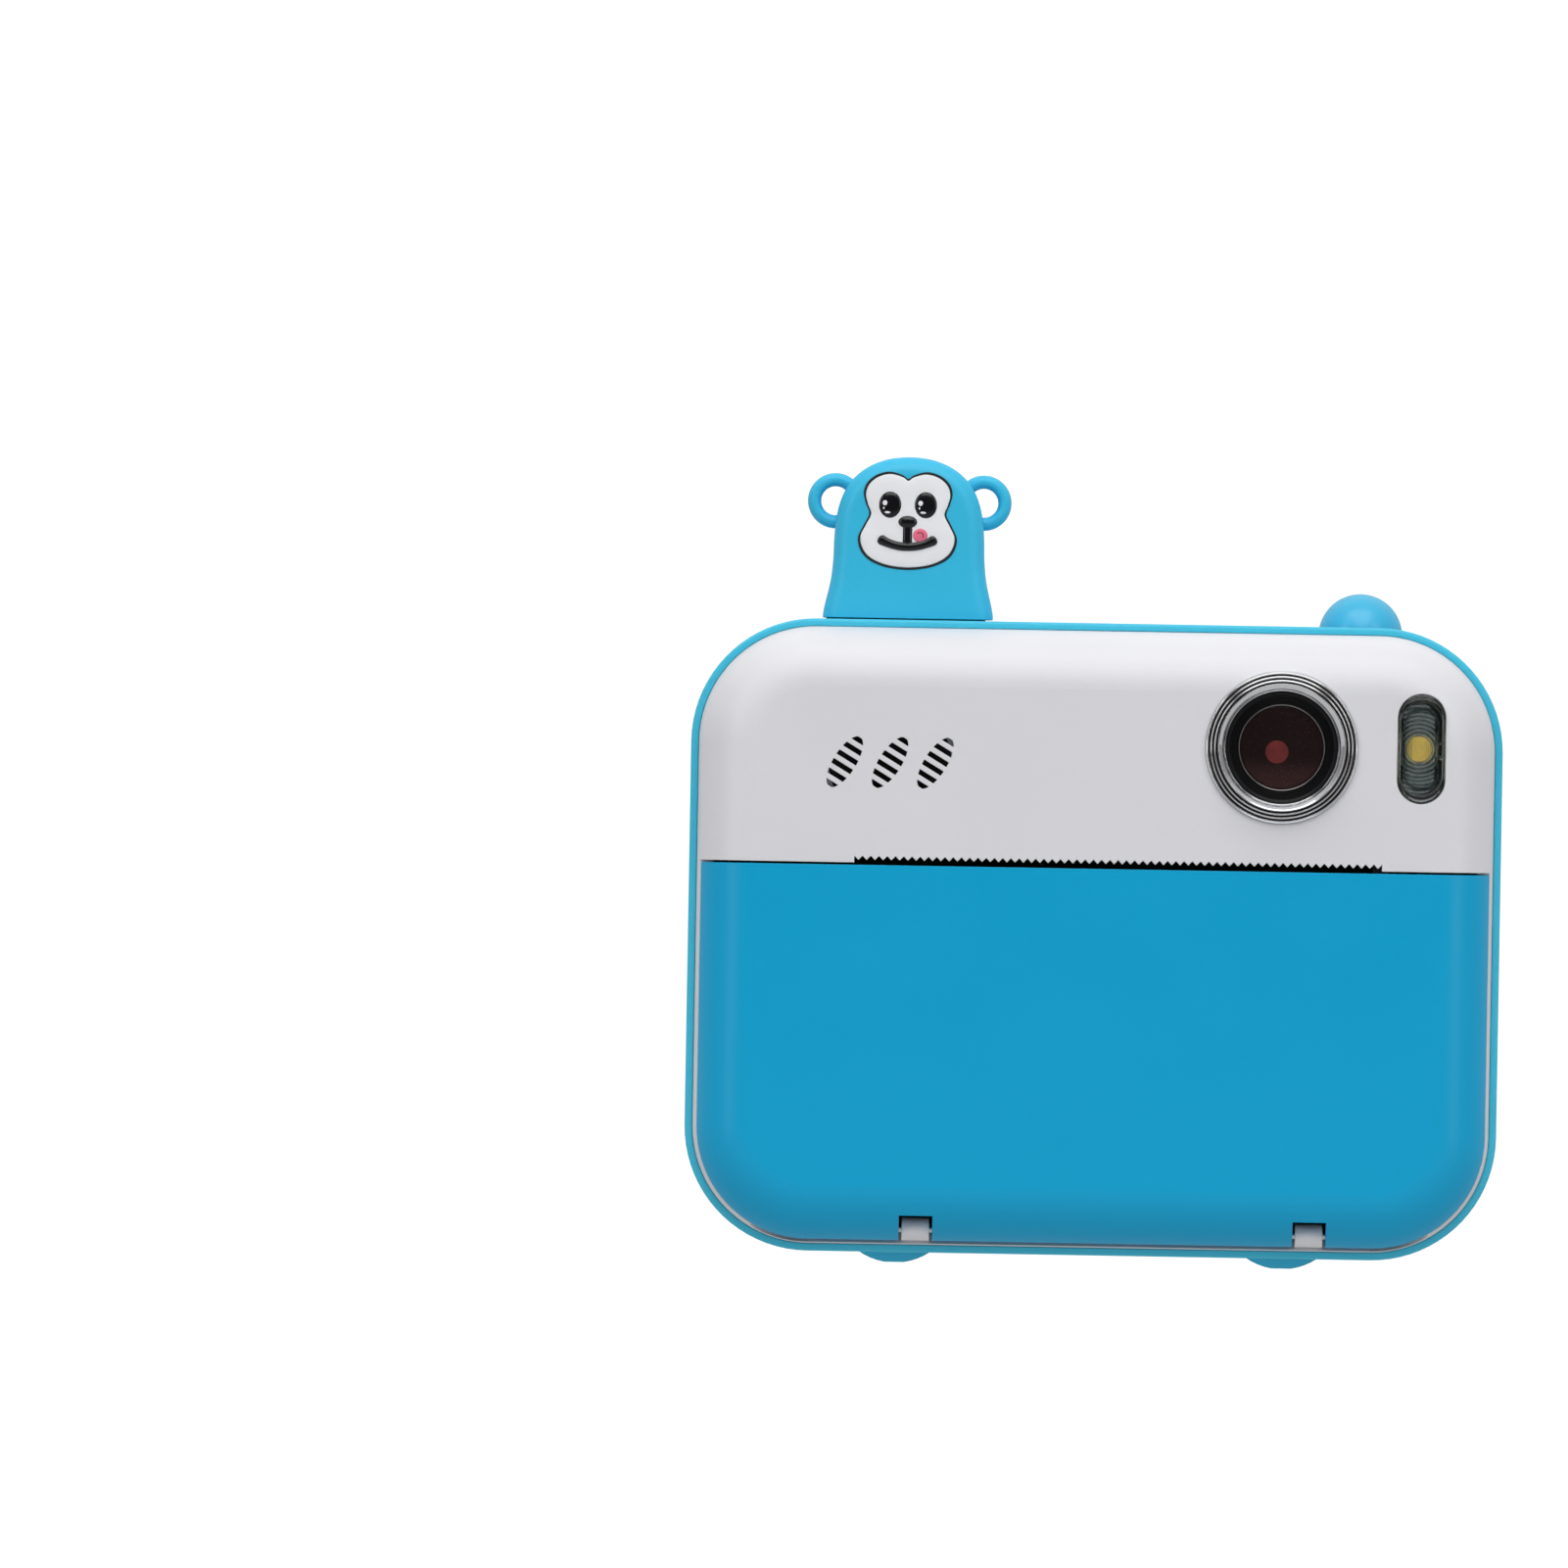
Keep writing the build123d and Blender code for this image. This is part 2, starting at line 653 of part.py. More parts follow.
# Gear train: motor pinion, a two-step idler, and the gear on the platen shaft.
platen_teeth = 20
small_teeth = 16
large_teeth = 36
pinion_teeth = 12
small_module = 0.5
large_module = 0.4
idler_y = platen_y + (platen_teeth + small_teeth) * small_module / 2
idler_z = platen_z
pinion_y = idler_y
pinion_z = idler_z - (large_teeth + pinion_teeth) * large_module / 2


def platen_gear():
    return gear(platen_teeth, small_module, 38.9, 41.7, platen_y, platen_z, 1.5, 0)


def idler_gear():
    """A small gear that meets the platen's and a large one that meets the pinion's, in one moulding."""
    small = gear(small_teeth, small_module, 38.7, 42.7, idler_y, idler_z, 0.85, 180 / small_teeth)
    large = gear(large_teeth, large_module, 42.7, 44.9, idler_y, idler_z, 0.85, 270)
    return small + large


def motor_pinion():
    wheel = gear(pinion_teeth, large_module, 42.9, 45.2, pinion_y, pinion_z, 0, 90 + 180 / pinion_teeth)
    return wheel + rod_x(45.0, 48.8, pinion_y, pinion_z, 0.75)


def stepper_motor():
    """A round can with a bore in its front for its own shaft."""
    can = rod_x(47.7, 56.6, pinion_y, pinion_z, 7.2)
    can = fillet(can.edges().sort_by(Axis.X)[-1], 0.8)
    return can - rod_x(46.5, 49.0, pinion_y, pinion_z, 0.8)


# ---------------------------------------------------------------- print head
head_x0, head_x1 = print_x - 30.5, print_x + 30.5
ceramic_front_y = platen_y + platen_r + 0.1


def heat_sink():
    """The aluminium back of the print head, with pivot knuckles at its lower corners."""
    sink = block(head_x0, head_x1, -8.9, -5.9, 49.0, 60.6)
    for x0, x1 in ((head_x0, head_x0 + 4), (head_x1 - 4, head_x1)):
        sink += rod_x(x0, x1, head_pivot_y, head_pivot_z, 1.9)
        sink += block(x0, x1, head_pivot_y - 1.5, head_pivot_y + 1.5, head_pivot_z, 50.0)
    for n in range(9):
        x = head_x0 + 6.2 + n * 6.075
        sink -= block(x - 1.2, x + 1.2, -6.9, -5.0, 51.0, 54.6)
    return sink - rod_x(head_x0 - 1, head_x1 + 1, head_pivot_y, head_pivot_z, 1.0 + running_gap)


def thermal_head():
    """A white ceramic strip with a raised heating line where it meets the platen."""
    strip = block(head_x0 + 0.5, head_x1 - 0.5, ceramic_front_y + 0.2, -8.9, 50.0, 60.2)
    line = block(head_x0 + 2.5, head_x1 - 2.5, ceramic_front_y, ceramic_front_y + 0.3, 54.7, 55.3)
    return strip + line


def head_pivot_pin():
    return rod_x(frame_x[0][0], frame_x[1][1], head_pivot_y, head_pivot_z, 1.0)


frame_x = ((-32.9, -31.5), (36.9, 38.1))
spring_seat_y = -1.6


def head_springs():
    """Two springs behind the print head, lying along Y, a little short of it so that it can rock back."""
    spring = Rot(90, 0, 0) * coil(0, 0, 0, 1.7, 0.45, spring_seat_y + 5.9 - 0.3, 4)
    return Compound(children=[Pos(x, spring_seat_y, 57.5) * spring for x in (print_x - 18.0, print_x + 18.0)])


# ---------------------------------------------------------------- printer bay and paper
bay_x0, bay_x1 = print_x - 31.0, print_x + 31.0


def paper_bay():
    """The tray behind the door: a front plate, a cradle for the roll, and the print head's frame."""
    inside = body_form(-shell_wall - 0.4, -20.0, split_y)
    plate = slab(Pos(0, 33.0) * Rectangle(130, 54.8), -15.6, -14.4) & inside
    plate -= block(bay_x0, bay_x1, -17, -13, 11.8, 50)
    plate -= block(-33.5, 47.5, -17, -13, 45.0, 70)
    plate -= block(-bead_half - 1, bead_half + 1, -17, -13.9, 0, hinge_z + 2.6)
    bay = plate

    # Cradle: a U in section, open to the front, and closed by a cheek at each end.
    behind = Pos(20 - 15.6, cradle_z) * Rectangle(40, 60)
    outer = Pos(roll_y, cradle_z) * Circle(cradle_r + 1.2) & behind
    outer += Pos((roll_y - 15.6) / 2, cradle_z) * Rectangle(roll_y + 15.6, 2 * cradle_r + 2.4)
    inner = Pos(roll_y, cradle_z) * Circle(cradle_r)
    inner += Pos((roll_y - 16) / 2, cradle_z) * Rectangle(roll_y + 16, 2 * cradle_r)
    bay += bar(outer, bay_x0 - 1.2, bay_x1 + 1.2) - bar(inner, bay_x0, bay_x1)
    bay -= block(bay_x0, bay_x1, -17, -8.4, 40, 47)

    # Frame: a shelf over the cradle, a plate at each end of the print head, and a wall for its springs.
    shelf_z = cradle_z + cradle_r
    bay += block(frame_x[0][0], frame_x[1][1], -5.2, 0.0, shelf_z, shelf_z + 1.2)
    for x0, x1 in frame_x:
        bay += block(x0, x1, -11.9, 0.0, shelf_z, 61.0)
        bay += block(x0, x1, -11.9, -5.2, shelf_z, shelf_z + 1.2)
    bay += block(frame_x[0][0], frame_x[1][1], spring_seat_y, 0.0, shelf_z, 61.0)
    bay += block(frame_x[0][0], bay_x0, -11.9, 0.0, shelf_z, shelf_z + 1.2)
    bay += block(bay_x1, frame_x[1][1], -11.9, 0.0, shelf_z, shelf_z + 1.2)

    # Motor bracket, tied to the front plate and to the spring wall.
    bay += block(46.5, 47.7, -14.5, 2.6, 36.0, 61.0)
    bay += block(frame_x[1][1] - 0.1, 47.7, 2.3, 3.5, 46.0, 61.0)
    bay += block(frame_x[1][0], frame_x[1][1], -0.1, 3.5, 46.0, 61.0)

    bay -= rod_x(-40, 40, head_pivot_y, head_pivot_z, 1.0)
    bay -= rod_x(36, 48, idler_y, idler_z, 0.8)
    bay -= rod_x(46, 48, pinion_y, pinion_z, 1.0)
    for x, z in screw_places:
        bay -= rod_y(x, z, -20, 10, 3.4)
        bay -= block(*sorted((x, math.copysign(62, x))), -13.0, 8, z - 1.1, z + 1.1)
    for x, z in bay_screw_places:
        bay -= rod_y(x, z, -20, -13, 0.95)
    return bay


def idler_axle():
    return rod_x(frame_x[1][0], 47.7, idler_y, idler_z, 0.8)


def paper_roll():
    wound = rod_x(print_x - roll_half, print_x + roll_half, roll_y, roll_z, roll_r)
    wound = fillet(wound.edges().filter_by(GeomType.CIRCLE), 0.3)
    return wound - rod_x(-40, 50, roll_y, roll_z, 6.4)


def roll_core():
    tube = rod_x(print_x - roll_half, print_x + roll_half, roll_y, roll_z, 6.4)
    return tube - rod_x(-40, 50, roll_y, roll_z, 5.2)


# ---------------------------------------------------------------- electronics
def main_board():
    outline = Pos(-2.5, 49.5) * RectangleRounded(109, 78, 8)
    board = slab(outline, board_y, board_y + board_t)
    for x, z in screw_places:
        board -= rod_y(x, z, board_y - 1, board_y + 3, 3.7)
    return board


# Each chip's place in X and Z, its width and height, and how far it stands off the board.
chip_sizes = (
    (-20, 76, 14, 14, 1.2),
    (0, 78, 9, 11, 1.0),
    (46, 62, 8, 10, 1.6),
    (46, 44, 6, 6, 1.8),
    (-46, 34, 7, 7, 1.8),
)


def board_chips():
    """The processor, its memory, the printer driver and the power parts, on the board's front face."""
    chips = []
    for x, z, w, h, t in chip_sizes:
        chips.append(block(x - w / 2, x + w / 2, board_y - t, board_y, z - h / 2, z + h / 2))
    return Compound(children=chips)


def usb_socket():
    """The charging socket: a flat steel tube round a thin tongue."""
    y = board_y - 1.65
    shape = Pos(y, usb_z) * RectangleRounded(3.2, 8.9, 1.55)
    hollow = Pos(y, usb_z) * RectangleRounded(2.5, 8.2, 1.2)
    socket = bar(shape, -59.9, -52.6) - bar(hollow, -61, -53.6)
    return socket + block(-58.6, -53.0, y - 0.35, y + 0.35, usb_z - 3.3, usb_z + 3.3)


def card_socket():
    y0, y1 = board_y - 1.9, board_y
    socket = block(-58.6, -44.5, y0, y1, card_z - 6.6, card_z + 6.6)
    return socket - block(-60, -46.5, y0 + 0.4, y1 - 0.5, card_z - 5.6, card_z + 5.6)


def reset_switch():
    body = block(-56.6, -53.4, board_y - 2.4, board_y, reset_z - 1.9, reset_z + 1.9)
    return body + rod_x(-57.6, -56.6, board_y - 1.2, reset_z, 0.5)


def battery():
    pouch = block(-53.6, -30.4, -14.3, -5.6, 19.8, 43.6)
    return fillet(pouch.edges().filter_by(Axis.Z), 1.6)


def lcd_panel():
    outline = Pos(screen_x, screen_z) * RectangleRounded(60, 45, 1)
    return slab(outline, inner_back_y - 2.6, inner_back_y - 0.05)


def screen_window():
    outline = Pos(screen_x, screen_z) * RectangleRounded(screen_w, screen_h, 3)
    return slab(outline, shell_back_y - 1.15, shell_back_y + 0.05)


def keys():
    """Name, place and radius of each key on the back."""
    return (
        ("key_ok", key_x, key_z, 4.2),
        ("key_up", key_x, key_z + key_pitch, 3.3),
        ("key_down", key_x, key_z - key_pitch, 3.3),
        ("key_left", key_x + key_pitch, key_z, 3.3),
        ("key_right", key_x - key_pitch, key_z, 3.3),
        ("key_power", key_x + 8, key_row_z, 2.9),
        ("key_menu", key_x - 8, key_row_z, 2.9),
    )


def key_cap(x, z, r):
    cap = rod_y(x, z, inner_back_y - 0.1, shell_back_y + 1.15, r)
    cap = fillet(cap.edges().sort_by(Axis.Y)[-1], 0.6)
    cap += rod_y(x, z, inner_back_y - 1.1, inner_back_y - 0.1, r + 0.8)
    return cap + rod_y(x, z, key_end_y, inner_back_y - 1.0, 1.4)


def key_switches():
    switches = []
    for _, x, z, _ in keys():
        base = block(x - 2.4, x + 2.4, board_y + board_t, board_y + board_t + 2.0, z - 2.4, z + 2.4)
        switches.append(base + rod_y(x, z, board_y + board_t + 2.0, key_end_y - key_travel - 0.1, 1.3))
    return Compound(children=switches)


def shutter_board():
    outline = Pos(shutter_x, shutter_y - 1.1) * RectangleRounded(16.4, 14.6, 1)
    return post(outline, shutter_board_z - 1.2, shutter_board_z)


def shutter_spring():
    return coil(shutter_x, shutter_y, shutter_board_z, 5.3, 0.5, flange_z - 1.4 - shutter_board_z, 4)


# ---------------------------------------------------------------- fasteners
def hinge_pins():
    reach = post_w / 2 + 2.9
    return Compound(children=[rod_x(x - reach, x + reach, hinge_y, hinge_z, hinge_pin_r) for x in post_x])


def cross_recess(x, z, y0, y1, size):
    """A plus-shaped driver recess cut into a screw head."""
    arm = block(x - size, x + size, y0, y1, z - size / 4, z + size / 4)
    return arm + block(x - size / 4, x + size / 4, y0, y1, z - size, z + size)


def shell_screws():
    screws = []
    for x, z in screw_places:
        screw = rod_y(x, z, -8.0, 9.0, 1.1) + rod_y(x, z, 9.0, 10.6, 2.3)
        screws.append(screw - cross_recess(x, z, 9.8, 11, 1.4))
    return Compound(children=screws)


def bay_screws():
    screws = []
    for x, z in bay_screw_places:
        screw = rod_y(x, z, -15.6, -9.0, 0.8) + rod_y(x, z, -16.7, -15.6, 1.7)
        screws.append(screw - cross_recess(x, z, -17, -16.2, 1.0))
    return Compound(children=screws)


# ---------------------------------------------------------------- write every piece
pieces = {
    "front_shell": front_shell,
    "rear_shell": rear_shell,
    "silicone_case": silicone_case,
    "monkey_head": monkey_head,
    "face_plate": face_plate,
    "face_eyes": lambda: face_inlay(eye_outline()),
    "face_mouth": lambda: face_inlay(mouth_outline()),
    "face_tongue": lambda: face_inlay(tongue_outline()),
    "shutter_button": shutter_button,
    "shutter_switch": shutter_switch,
    "shutter_board": shutter_board,
    "shutter_spring": shutter_spring,
    "lens_bezel": lens_bezel,
    "lens_barrel": lens_barrel,
    "lens_glass": lens_glass,
    "camera_lens": camera_lens,
    "camera_board": camera_board,
    "flash_window": flash_window,
    "flash_lamp": flash_lamp,
    "flash_board": flash_board,
    "speaker_driver": speaker_driver,
    "speaker_cone": speaker_cone,
    "paper_door": paper_door,
    "platen_bushes": platen_bushes,
    "platen_shaft": platen_shaft,
    "platen_rubber": platen_rubber,
    "platen_gear": platen_gear,
    "idler_gear": idler_gear,
    "idler_axle": idler_axle,
    "motor_pinion": motor_pinion,
    "stepper_motor": stepper_motor,
    "heat_sink": heat_sink,
    "thermal_head": thermal_head,
    "head_pivot_pin": head_pivot_pin,
    "head_springs": head_springs,
    "paper_bay": paper_bay,
    "paper_roll": paper_roll,
    "roll_core": roll_core,
    "main_board": main_board,
    "board_chips": board_chips,
    "usb_socket": usb_socket,
    "card_socket": card_socket,
    "reset_switch": reset_switch,
    "battery": battery,
    "lcd_panel": lcd_panel,
    "screen_window": screen_window,
    "key_switches": key_switches,
    "hinge_pins": hinge_pins,
    "shell_screws": shell_screws,
    "bay_screws": bay_screws,
}
for name, x, z, r in keys():
    pieces[name] = lambda x=x, z=z, r=r: key_cap(x, z, r)

os.makedirs("parts", exist_ok=True)
for name, make in pieces.items():
    export_step(make(), f"parts/{name}.step")
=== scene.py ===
import math

import bmesh
import bpy
import numpy as np
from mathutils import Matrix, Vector


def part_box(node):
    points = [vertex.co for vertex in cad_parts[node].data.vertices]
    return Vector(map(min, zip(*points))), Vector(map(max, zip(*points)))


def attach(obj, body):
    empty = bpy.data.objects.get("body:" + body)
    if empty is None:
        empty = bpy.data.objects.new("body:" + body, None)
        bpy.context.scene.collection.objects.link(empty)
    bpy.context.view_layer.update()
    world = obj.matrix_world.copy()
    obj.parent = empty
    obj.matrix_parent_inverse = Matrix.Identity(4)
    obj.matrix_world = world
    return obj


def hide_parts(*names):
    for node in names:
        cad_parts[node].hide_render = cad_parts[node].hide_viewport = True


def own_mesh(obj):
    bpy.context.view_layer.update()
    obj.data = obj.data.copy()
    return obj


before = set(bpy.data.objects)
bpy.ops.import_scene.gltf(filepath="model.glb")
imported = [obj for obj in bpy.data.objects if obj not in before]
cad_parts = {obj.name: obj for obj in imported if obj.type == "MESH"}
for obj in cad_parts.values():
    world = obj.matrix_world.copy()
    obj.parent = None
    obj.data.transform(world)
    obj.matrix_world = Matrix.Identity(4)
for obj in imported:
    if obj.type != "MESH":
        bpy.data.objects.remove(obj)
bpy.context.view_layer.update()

# ------------------------ front and rear shell
# The body is two white ABS mouldings with a fine satin texture, screwed together from the back.
# The front one carries the tear edge, the sound slots and the seats for the lens and the flash window.
mm = 0.001


def node_group(name, inputs, outputs):
    """An empty shader node group with named number or vector sockets, and its input and output nodes."""
    group = bpy.data.node_groups.new(name, "ShaderNodeTree")
    for socket, kind, value in inputs:
        made = group.interface.new_socket(name=socket, in_out="INPUT", socket_type=kind)
        if value is not None:
            made.default_value = value
    for socket, kind in outputs:
        group.interface.new_socket(name=socket, in_out="OUTPUT", socket_type=kind)
    start = group.nodes.new("NodeGroupInput")
    end = group.nodes.new("NodeGroupOutput")
    return group, start, end


def give(tree, socket, value):
    """Links a socket to another socket, or sets it to a number or to a colour of three numbers."""
    if isinstance(value, bpy.types.NodeSocket):
        tree.links.new(value, socket)
    elif isinstance(value, tuple) and socket.type == "RGBA":
        socket.default_value = (*value, 1.0)
    else:
        socket.default_value = value


def feed(tree, node, **values):
    """Gives values to a node's inputs, each named with underscores for spaces."""
    for socket, value in values.items():
        give(tree, node.inputs[socket.replace("_", " ")], value)
    return node


def here(tree):
    """The Object coordinates of the shaded point."""
    return tree.nodes.new("ShaderNodeTexCoord").outputs["Object"]


def split(tree, vector):
    """The X, Y and Z of a vector."""
    return feed(tree, tree.nodes.new("ShaderNodeSeparateXYZ"), Vector=vector).outputs


def math_node(tree, operation, a, b=None, clamp=False):
    """A Math node. Each operand is a socket or a number."""
    node = tree.nodes.new("ShaderNodeMath")
    node.operation = operation
    node.use_clamp = clamp
    for index, value in enumerate((a, b)):
        if value is not None:
            give(tree, node.inputs[index], value)
    return node.outputs[0]


def vector_node(tree, operation, a, b=None):
    """A Vector Math node."""
    node = tree.nodes.new("ShaderNodeVectorMath")
    node.operation = operation
    for index, value in enumerate((a, b)):
        if value is not None:
            give(tree, node.inputs[index], value)
    return node.outputs["Value" if operation in ("LENGTH", "DOT_PRODUCT") else "Vector"]


def noise(tree, scale, detail=2.0, roughness=0.5, vector=None, distortion=0.0):
    """A Noise texture on Object coordinates, or on the vector given. Returns its value from 0 to 1."""
    node = tree.nodes.new("ShaderNodeTexNoise")
    place = here(tree) if vector is None else vector
    feed(tree, node, Vector=place, Scale=scale, Detail=detail, Roughness=roughness, Distortion=distortion)
    return node.outputs["Fac"]


def spread(tree, value, low, high, from_low=0.3, from_high=0.7):
    """Maps a value from one range, which is that of a noise if not given, onto the range from low to high."""
    node = tree.nodes.new("ShaderNodeMapRange")
    feed(tree, node, Value=value, From_Min=from_low, From_Max=from_high, To_Min=low, To_Max=high)
    return node.outputs["Result"]


def bumped(tree, height, distance, **sockets):
    """The normal of a Bump node whose height, from 0 to 1, stands for a distance in metres."""
    node = tree.nodes.new("ShaderNodeBump")
    return feed(tree, node, Height=height, Distance=distance, **sockets).outputs["Normal"]


def moulded_skin_group():
    """Grain, rounded edges and slight blotches of a moulding. Normal comes from a bevelled normal with a fine
    noise bump on it, Tone is one plus or minus a low noise, and Rough is twice that noise."""
    group, start, end = node_group(
        "moulded_skin",
        [("Grain", "NodeSocketFloat", 5000.0), ("Depth", "NodeSocketFloat", 0.00002),
         ("Edge", "NodeSocketFloat", 0.00015), ("Blotch", "NodeSocketFloat", 0.02)],
        [("Normal", "NodeSocketVector"), ("Tone", "NodeSocketFloat"), ("Rough", "NodeSocketFloat")],
    )
    bevel = group.nodes.new("ShaderNodeBevel")
    bevel.samples = 4
    feed(group, bevel, Radius=start.outputs["Edge"])
    grain = noise(group, start.outputs["Grain"], 3.0, 0.6)
    skin = bumped(group, grain, start.outputs["Depth"], Normal=bevel.outputs["Normal"])
    low = spread(group, noise(group, 55.0, 3.0, 0.6), -1.0, 1.0)
    swing = math_node(group, "MULTIPLY", low, start.outputs["Blotch"])
    tone, rough = math_node(group, "ADD", swing, 1.0), math_node(group, "MULTIPLY", swing, 2.0)
    feed(group, end, Normal=skin, Tone=tone, Rough=rough)
    return group


skin_group = moulded_skin_group()


def new_material(name, **sockets):
    """A material with only a Principled BSDF, whose sockets are set by name with underscores for spaces."""
    mat = bpy.data.materials.new(name)
    mat.use_nodes = True
    bsdf = mat.node_tree.nodes["Principled BSDF"]
    feed(mat.node_tree, bsdf, **sockets)
    return mat, mat.node_tree, bsdf


def toned(tree, colour, tone):
    """A colour multiplied by a value that changes over the surface."""
    node = tree.nodes.new("ShaderNodeMix")
    node.data_type = "RGBA"
    node.blend_type = "MULTIPLY"
    return feed(tree, node, Factor=1.0, A=colour, B=tone).outputs["Result"]


def mixed(tree, mask, a, b):
    """Colour a where the mask is 0 and colour b where it is 1."""
    node = tree.nodes.new("ShaderNodeMix")
    node.data_type = "RGBA"
    return feed(tree, node, Factor=mask, A=a, B=b).outputs["Result"]


def moulded(name, colour, roughness, grain=5000.0, depth=0.000012, edge=0.00018, blotch=0.015, **sockets):
    """A moulded material: the skin group drives its normal, its tone and a little of its roughness."""
    mat, tree, bsdf = new_material(name, **sockets)
    skin = tree.nodes.new("ShaderNodeGroup")
    skin.node_tree = skin_group
    feed(tree, skin, Grain=grain, Depth=depth, Edge=edge, Blotch=blotch)
    rough = math_node(tree, "ADD", skin.outputs["Rough"], roughness, clamp=True)
    base = toned(tree, colour, skin.outputs["Tone"])
    feed(tree, bsdf, Base_Color=base, Roughness=rough, Normal=skin.outputs["Normal"])
    return mat


def dress(material, *nodes):
    """Gives CAD nodes their finish."""
    for name in nodes:
        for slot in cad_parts[name].material_slots:
            slot.material = material


shell_white = moulded("shell_white", (0.78, 0.78, 0.81), 0.38, 4200.0, 0.000010, 0.00018, 0.012)
dress(shell_white, "front_shell", "rear_shell")

# ------------------------ lens group
# A chromed brass ring with fine turned ridges is pressed into the shell round a black anodised barrel.
# Behind the flat cover glass sits a small lens cell whose coated elements show dark red.
lens_x, lens_z = 28.0, 79.65
front_y = -23.0


def grid_mesh(name, points, close_u=False, close_v=False):
    """A mesh from an array of points indexed by u and v. Neighbouring rows and columns are joined by quads,
    rows that close wrap round, and points that coincide at a pole or a seam are merged."""
    points = np.asarray(points, dtype=float)
    nu, nv = points.shape[:2]
    u = np.arange(nu if close_u else nu - 1)
    v = np.arange(nv if close_v else nv - 1)
    uu, vv = np.meshgrid(u, v, indexing="ij")
    u2, v2 = (uu + 1) % nu, (vv + 1) % nv
    quads = np.stack([uu * nv + vv, u2 * nv + vv, u2 * nv + v2, uu * nv + v2], axis=-1).reshape(-1, 4)
    mesh = bpy.data.meshes.new(name)
    mesh.from_pydata(points.reshape(-1, 3) * mm, [], quads.tolist())
    shape = bmesh.new()
    shape.from_mesh(mesh)
    bmesh.ops.remove_doubles(shape, verts=shape.verts, dist=2e-6)
    bmesh.ops.recalc_face_normals(shape, faces=shape.faces)
    shape.to_mesh(mesh)
    shape.free()
    return mesh


def add_piece(name, mesh, body, material, smooth=True, crease=35.0):
    """Puts a mesh in the scene as a piece that rides on a body."""
    piece = bpy.data.objects.new(name, mesh)
    bpy.context.scene.collection.objects.link(piece)
    mesh.polygons.foreach_set("use_smooth", np.full(len(mesh.polygons), smooth))
    if smooth and crease:
        mesh.set_sharp_from_angle(angle=math.radians(crease))
    mesh.materials.append(material)
    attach(piece, body)
    return piece


def joined(name, meshes):
    """One mesh out of several."""
    shape = bmesh.new()
    for mesh in meshes:
        shape.from_mesh(mesh)
    made = bpy.data.meshes.new(name)
    shape.to_mesh(made)
    shape.free()
    return made


def turned(name, profile, centre, axis="y", steps=160):
    """A turned surface: each profile pair is a radius and a place along the axis, carried once round it."""
    profile = np.asarray(profile, dtype=float)
    turn = np.linspace(0, 2 * np.pi, steps, endpoint=False)
    r, along = profile[:, 0], profile[:, 1]
    a = r[:, None] * np.cos(turn)
    b = r[:, None] * np.sin(turn)
    c = np.broadcast_to(along[:, None], a.shape)
    layers = {"x": (c, a, b), "y": (a, c, b), "z": (a, b, c)}[axis]
    points = np.stack(layers, axis=-1) + np.asarray(centre, dtype=float)
    return grid_mesh(name, points, close_v=True)


def rounded(profile, radius, steps=5):
    """A profile whose corners are replaced by arcs: each arc meets both sides at the radius, or at 0.45 of the
    shorter side."""
    profile = [np.asarray(p, dtype=float) for p in profile]
    out = [profile[0]]
    for before, corner, after in zip(profile, profile[1:], profile[2:]):
        a, b = before - corner, after - corner
        la, lb = np.linalg.norm(a), np.linalg.norm(b)
        cut = min(radius, 0.45 * la, 0.45 * lb)
        start, end = corner + a / la * cut, corner + b / lb * cut
        t = np.linspace(0, 1, steps)[:, None]
        out.extend((1 - t) ** 2 * start + 2 * t * (1 - t) * corner + t**2 * end)
    out.append(profile[-1])
    return np.array(out)


def from_axis_node(tree, a, b):
    """The distance from an axis: the root of the sum of the squares of the two coordinates across it."""
    square = math_node(tree, "ADD", math_node(tree, "MULTIPLY", a, a), math_node(tree, "MULTIPLY", b, b))
    return math_node(tree, "SQRT", square)


def turned_metal_group():
    """Marks of a lathe: rings round an axis along Y through a centre, from a noise read by the distance to it."""
    group, start, end = node_group(
        "turned_marks",
        [("Centre", "NodeSocketVector", None), ("Rings", "NodeSocketFloat", 9000.0),
         ("Depth", "NodeSocketFloat", 0.000004)],
        [("Normal", "NodeSocketVector"), ("Mark", "NodeSocketFloat")],
    )
    parts = split(group, vector_node(group, "SUBTRACT", here(group), start.outputs["Centre"]))
    ring = group.nodes.new("ShaderNodeCombineXYZ")
    feed(group, ring, X=from_axis_node(group, parts["X"], parts["Z"]), Y=parts["Y"])
    mark = noise(group, start.outputs["Rings"], 2.0, 0.6, ring.outputs[0])
    feed(group, end, Normal=bumped(group, mark, start.outputs["Depth"]), Mark=mark)
    return group


turned_group = turned_metal_group()


def turned_finish(name, colour, roughness, centre, rings=9000.0, depth=0.000004, **sockets):
    """A lathe-turned finish about an axis along Y."""
    mat, tree, bsdf = new_material(name, **sockets)
    marks = tree.nodes.new("ShaderNodeGroup")
    marks.node_tree = turned_group
    feed(tree, marks, Centre=centre, Rings=rings, Depth=depth)
    base = toned(tree, colour, spread(tree, marks.outputs["Mark"], 0.9, 1.05))
    rough = spread(tree, marks.outputs["Mark"], roughness * 0.7, roughness * 1.3)
    feed(tree, bsdf, Base_Color=base, Roughness=rough, Normal=marks.outputs["Normal"])
    return mat


def lens_part(name, profile, steps, dx=0.0, dz=0.0):
    """A turned mesh on the lens axis, or beside it, whose profile counts Y from the face of the front wall."""
    return turned(name, profile, (lens_x + dx, front_y, lens_z + dz), steps=steps)


